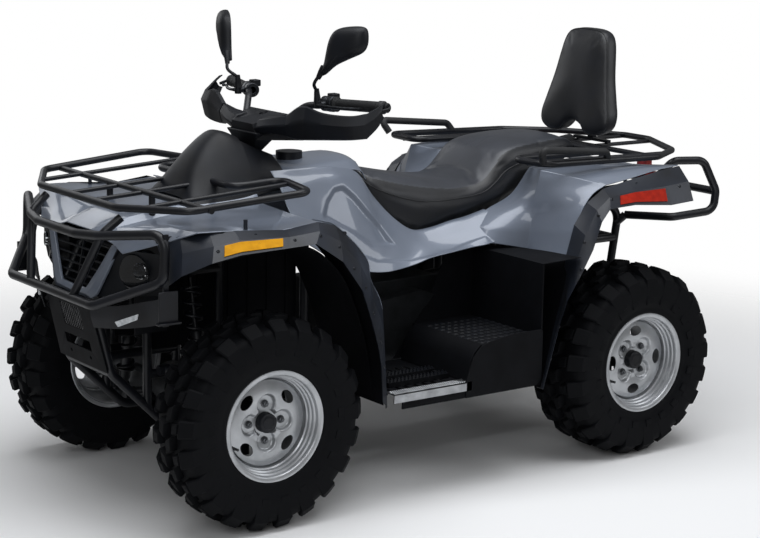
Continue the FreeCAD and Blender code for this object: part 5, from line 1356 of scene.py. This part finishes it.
# The floor clears between these distances from the bike, in metres.
CLEAR_FROM, CLEAR_TO = 1.7, 3.6
# Area lights: name, place, target, width, height, watts.
LIGHTS = [("Overhead", (0.3, 0.6, 4.2), (0, 0, 0.5), 4.5, 3.5, 175),
          ("Front_left", (3.4, 3.6, 2.6), (0.2, 0, 0.6), 2.2, 2.2, 42),
          ("Rear_left", (-3.2, 3.2, 2.8), (-0.3, 0, 0.7), 2.0, 2.0, 34),
          ("Right_fill", (0.5, -4.5, 2.5), (0, 0, 0.7), 3.0, 2.0, 24)]
LIGHT_COLOUR = "#FAFCFF"


def make_camera():
    """Camera that looks along (cos e cos a, cos e sin a, sin e), rolled about that line."""
    data = bpy.data.cameras.new("Camera")
    data.lens = CAMERA_LENS
    data.sensor_width = 36
    camera = linked("Camera", data)
    a, e, roll = (math.radians(v) for v in (CAMERA_AZIMUTH, CAMERA_ELEVATION, CAMERA_ROLL))
    look = Vector((math.cos(e) * math.cos(a), math.cos(e) * math.sin(a), math.sin(e)))
    right = look.cross(Vector((0, 0, 1))).normalized()
    up = right.cross(look)
    right, up = (right * math.cos(roll) + up * math.sin(roll),
                 up * math.cos(roll) - right * math.sin(roll))
    frame_matrix = Matrix((right, up, -look)).transposed().to_4x4()
    frame_matrix.translation = CAMERA_PLACE
    camera.matrix_world = frame_matrix
    bpy.context.scene.camera = camera


def make_floor(colour):
    """Pale studio floor; away from the bike it clears, so that the backdrop takes over."""
    reach = 12.0
    mesh = bpy.data.meshes.new("Floor")
    mesh.from_pydata([(-reach, -reach, 0), (reach, -reach, 0), (reach, reach, 0),
                      (-reach, reach, 0)], [], [(0, 1, 2, 3)])
    floor = linked("Floor", mesh)
    material = bpy.data.materials.new("studio_paper")
    material.use_nodes = True
    tree = material.node_tree
    shader = tree.nodes["Principled BSDF"]
    shader.inputs["Base Color"].default_value = (*colour, 1.0)
    shader.inputs["Roughness"].default_value = 0.9
    shader.inputs["Specular IOR Level"].default_value = 0.1
    place = add(tree, "ShaderNodeTexCoord").outputs["Object"]
    away = add(tree, "ShaderNodeVectorMath", settings={"operation": "LENGTH"},
               links={"Vector": place})
    fade = add(tree, "ShaderNodeMapRange", settings={"interpolation_type": "SMOOTHSTEP"},
               values={"From Min": CLEAR_FROM, "From Max": CLEAR_TO},
               links={"Value": away.outputs["Value"]})
    clear = add(tree, "ShaderNodeBsdfTransparent")
    mix = add(tree, "ShaderNodeMixShader", links={"Fac": fade.outputs["Result"]})
    tree.links.new(shader.outputs["BSDF"], mix.inputs[1])
    tree.links.new(clear.outputs["BSDF"], mix.inputs[2])
    tree.links.new(mix.outputs["Shader"], tree.nodes["Material Output"].inputs["Surface"])
    mesh.materials.append(material)


def area_light(name, place, target, width, height, watts):
    """Soft box: a rectangle of light at a place, aimed at a target."""
    data = bpy.data.lights.new(name, "AREA")
    data.shape = "RECTANGLE"
    data.size, data.size_y, data.energy = width, height, watts
    data.color = linear(LIGHT_COLOUR)[:3]
    light = linked(name, data)
    light.location = place
    light.rotation_mode = "QUATERNION"
    light.rotation_quaternion = (Vector(target) - Vector(place)).to_track_quat("-Z", "Y")


def make_world():
    """White backdrop to the camera, a dimmer grey studio to everything else."""
    world = bpy.data.worlds.new("Studio")
    bpy.context.scene.world = world
    world.use_nodes = True
    tree = world.node_tree
    background = tree.nodes["Background"]
    ray = add(tree, "ShaderNodeLightPath")
    seen = add(tree, "ShaderNodeMath", settings={"operation": "MAXIMUM"})
    tree.links.new(ray.outputs["Is Camera Ray"], seen.inputs[0])
    tree.links.new(ray.outputs["Is Transmission Ray"], seen.inputs[1])
    level = add(tree, "ShaderNodeMapRange", values={"To Min": STUDIO_LEVEL, "To Max": 1.0},
                links={"Value": seen.outputs["Value"]})
    tree.links.new(level.outputs["Result"], background.inputs["Strength"])
    background.inputs["Color"].default_value = (1, 1, 1, 1)


def make_stage(colour):
    """Floor, soft lights, world and camera."""
    make_floor(colour)
    make_world()
    for light in LIGHTS:
        area_light(*light)
    bpy.context.scene.view_settings.view_transform = "Standard"
    make_camera()


class QuadSizes(bpy.types.PropertyGroup):
    """Counts and sizes of the repeated details"""
    lug_count: bpy.props.IntProperty(
        name="Lugs", description="Shoulder blocks on each side of a tyre", default=21, min=12,
        max=40)
    spring_turns: bpy.props.IntProperty(
        name="Spring turns", description="Turns of each coil spring", default=9, min=4, max=16)
    mirror_heading: bpy.props.FloatProperty(
        name="Mirror heading", description="Turn of the mirrors towards the rider",
        default=math.radians(25), min=0, max=math.radians(60), subtype="ANGLE")
    mesh_pitch: bpy.props.FloatProperty(
        name="Mesh pitch", description="Distance between the wires of the front plate's mesh",
        default=0.013, min=0.006, max=0.04, precision=4, unit="LENGTH")
    fin_pitch: bpy.props.FloatProperty(
        name="Fin pitch", description="Distance between the radiator's fins", default=0.0075,
        min=0.004, max=0.02, precision=4, unit="LENGTH")


def colour_property(name, description, code):
    """Colour picker whose default is an sRGB hex code."""
    return bpy.props.FloatVectorProperty(name=name, description=description, subtype="COLOR",
                                         min=0, max=1, default=linear(code)[:3])


class QuadColours(bpy.types.PropertyGroup):
    """Colours of the body, the mouldings and the floor"""
    silver: colour_property("Body", "Colour of the painted panels", "#737B89")
    silver_shade: colour_property("Body shade", "Darker flake of the panels", "#6A7280")
    black: colour_property("Mouldings", "Colour of the grained mouldings", "#101319")
    floor: colour_property("Floor", "Colour of the studio floor", "#F4F4F4")


def in_mm(length):
    """A length property in mm, free of its rounding error."""
    return round(length / MM, 3)


class QUAD_OT_finishes(bpy.types.Operator):
    """Make every finish and give the frame's own pieces theirs"""
    bl_idname = "quad.finishes"
    bl_label = "Finishes"

    def execute(self, context):
        make_finishes(context.scene.quad_colours)
        dress_nodes()
        return {"FINISHED"}


class QUAD_OT_tyres(bpy.types.Operator):
    """Make the four tyres"""
    bl_idname = "quad.tyres"
    bl_label = "Tyres"

    def execute(self, context):
        make_tyres(context.scene.quad_sizes.lug_count)
        return {"FINISHED"}


class QUAD_OT_wheels(bpy.types.Operator):
    """Make the wheels, hubs, nuts and valves"""
    bl_idname = "quad.wheels"
    bl_label = "Wheels"

    def execute(self, context):
        make_wheels()
        return {"FINISHED"}


class QUAD_OT_springs(bpy.types.Operator):
    """Make the dampers and their coil springs"""
    bl_idname = "quad.springs"
    bl_label = "Springs"

    def execute(self, context):
        make_springs(context.scene.quad_sizes.spring_turns)
        return {"FINISHED"}


class QUAD_OT_seat(bpy.types.Operator):
    """Make the seat and the backrest"""
    bl_idname = "quad.seat"
    bl_label = "Seat"

    def execute(self, context):
        make_seat()
        make_backrest()
        return {"FINISHED"}


class QUAD_OT_handlebar(bpy.types.Operator):
    """Make the grips, mirrors, hand guards and controls"""
    bl_idname = "quad.handlebar"
    bl_label = "Handlebar"

    def execute(self, context):
        make_grips()
        make_mirrors(context.scene.quad_sizes.mirror_heading)
        make_hand_guards()
        make_switches()
        return {"FINISHED"}


class QUAD_OT_lamps(bpy.types.Operator):
    """Make the headlamps and the nose around them"""
    bl_idname = "quad.lamps"
    bl_label = "Lamps"

    def execute(self, context):
        make_lamps()
        make_nose()
        return {"FINISHED"}


class QUAD_OT_panels(bpy.types.Operator):
    """Make the body panels and the strips on them"""
    bl_idname = "quad.panels"
    bl_label = "Body panels"

    def execute(self, context):
        make_front_fairing()
        make_tank_panels()
        make_cowl()
        make_rear_fairing()
        dress_strips()
        return {"FINISHED"}


class QUAD_OT_shields(bpy.types.Operator):
    """Make the inner shields, the radiator and the step cheeks"""
    bl_idname = "quad.shields"
    bl_label = "Shields"

    def execute(self, context):
        make_shields()
        make_radiator(in_mm(context.scene.quad_sizes.fin_pitch))
        make_step_cheeks()
        return {"FINISHED"}


class QUAD_OT_trim(bpy.types.Operator):
    """Make the screws, the wire mesh and the treads"""
    bl_idname = "quad.trim"
    bl_label = "Trim"

    def execute(self, context):
        make_screws()
        make_mesh(in_mm(context.scene.quad_sizes.mesh_pitch))
        make_treads()
        return {"FINISHED"}


class QUAD_OT_stage(bpy.types.Operator):
    """Make the floor, the lights and the camera"""
    bl_idname = "quad.stage"
    bl_label = "Stage"

    def execute(self, context):
        make_stage(context.scene.quad_colours.floor)
        return {"FINISHED"}


OPERATORS = (QUAD_OT_finishes, QUAD_OT_tyres, QUAD_OT_wheels, QUAD_OT_springs, QUAD_OT_seat,
             QUAD_OT_handlebar, QUAD_OT_panels, QUAD_OT_shields, QUAD_OT_lamps, QUAD_OT_trim,
             QUAD_OT_stage)


class QUAD_PT_panel(bpy.types.Panel):
    """Lists the pieces of the quad bike"""
    bl_label = "Quad Bike"
    bl_idname = "QUAD_PT_panel"
    bl_space_type = "VIEW_3D"
    bl_region_type = "UI"
    bl_category = "Quad Bike"

    def draw(self, context):
        for group in (context.scene.quad_sizes, context.scene.quad_colours):
            for key in group.__annotations__:
                self.layout.prop(group, key)
        for operator in OPERATORS:
            self.layout.operator(operator.bl_idname)


CLASSES = (QuadSizes, QuadColours) + OPERATORS + (QUAD_PT_panel,)


def register():
    """Makes the operators, the panel and the settings known"""
    for kind in CLASSES:
        bpy.utils.register_class(kind)
    bpy.types.Scene.quad_sizes = bpy.props.PointerProperty(type=QuadSizes)
    bpy.types.Scene.quad_colours = bpy.props.PointerProperty(type=QuadColours)


def unregister():
    """Takes them out again, last ones first"""
    del bpy.types.Scene.quad_colours
    del bpy.types.Scene.quad_sizes
    for kind in reversed(CLASSES):
        bpy.utils.unregister_class(kind)


def main():
    """Runs every operator in order"""
    register()
    for operator in OPERATORS:
        group, name = operator.bl_idname.split(".")
        getattr(getattr(bpy.ops, group), name)()


if __name__ == "__main__":
    main()
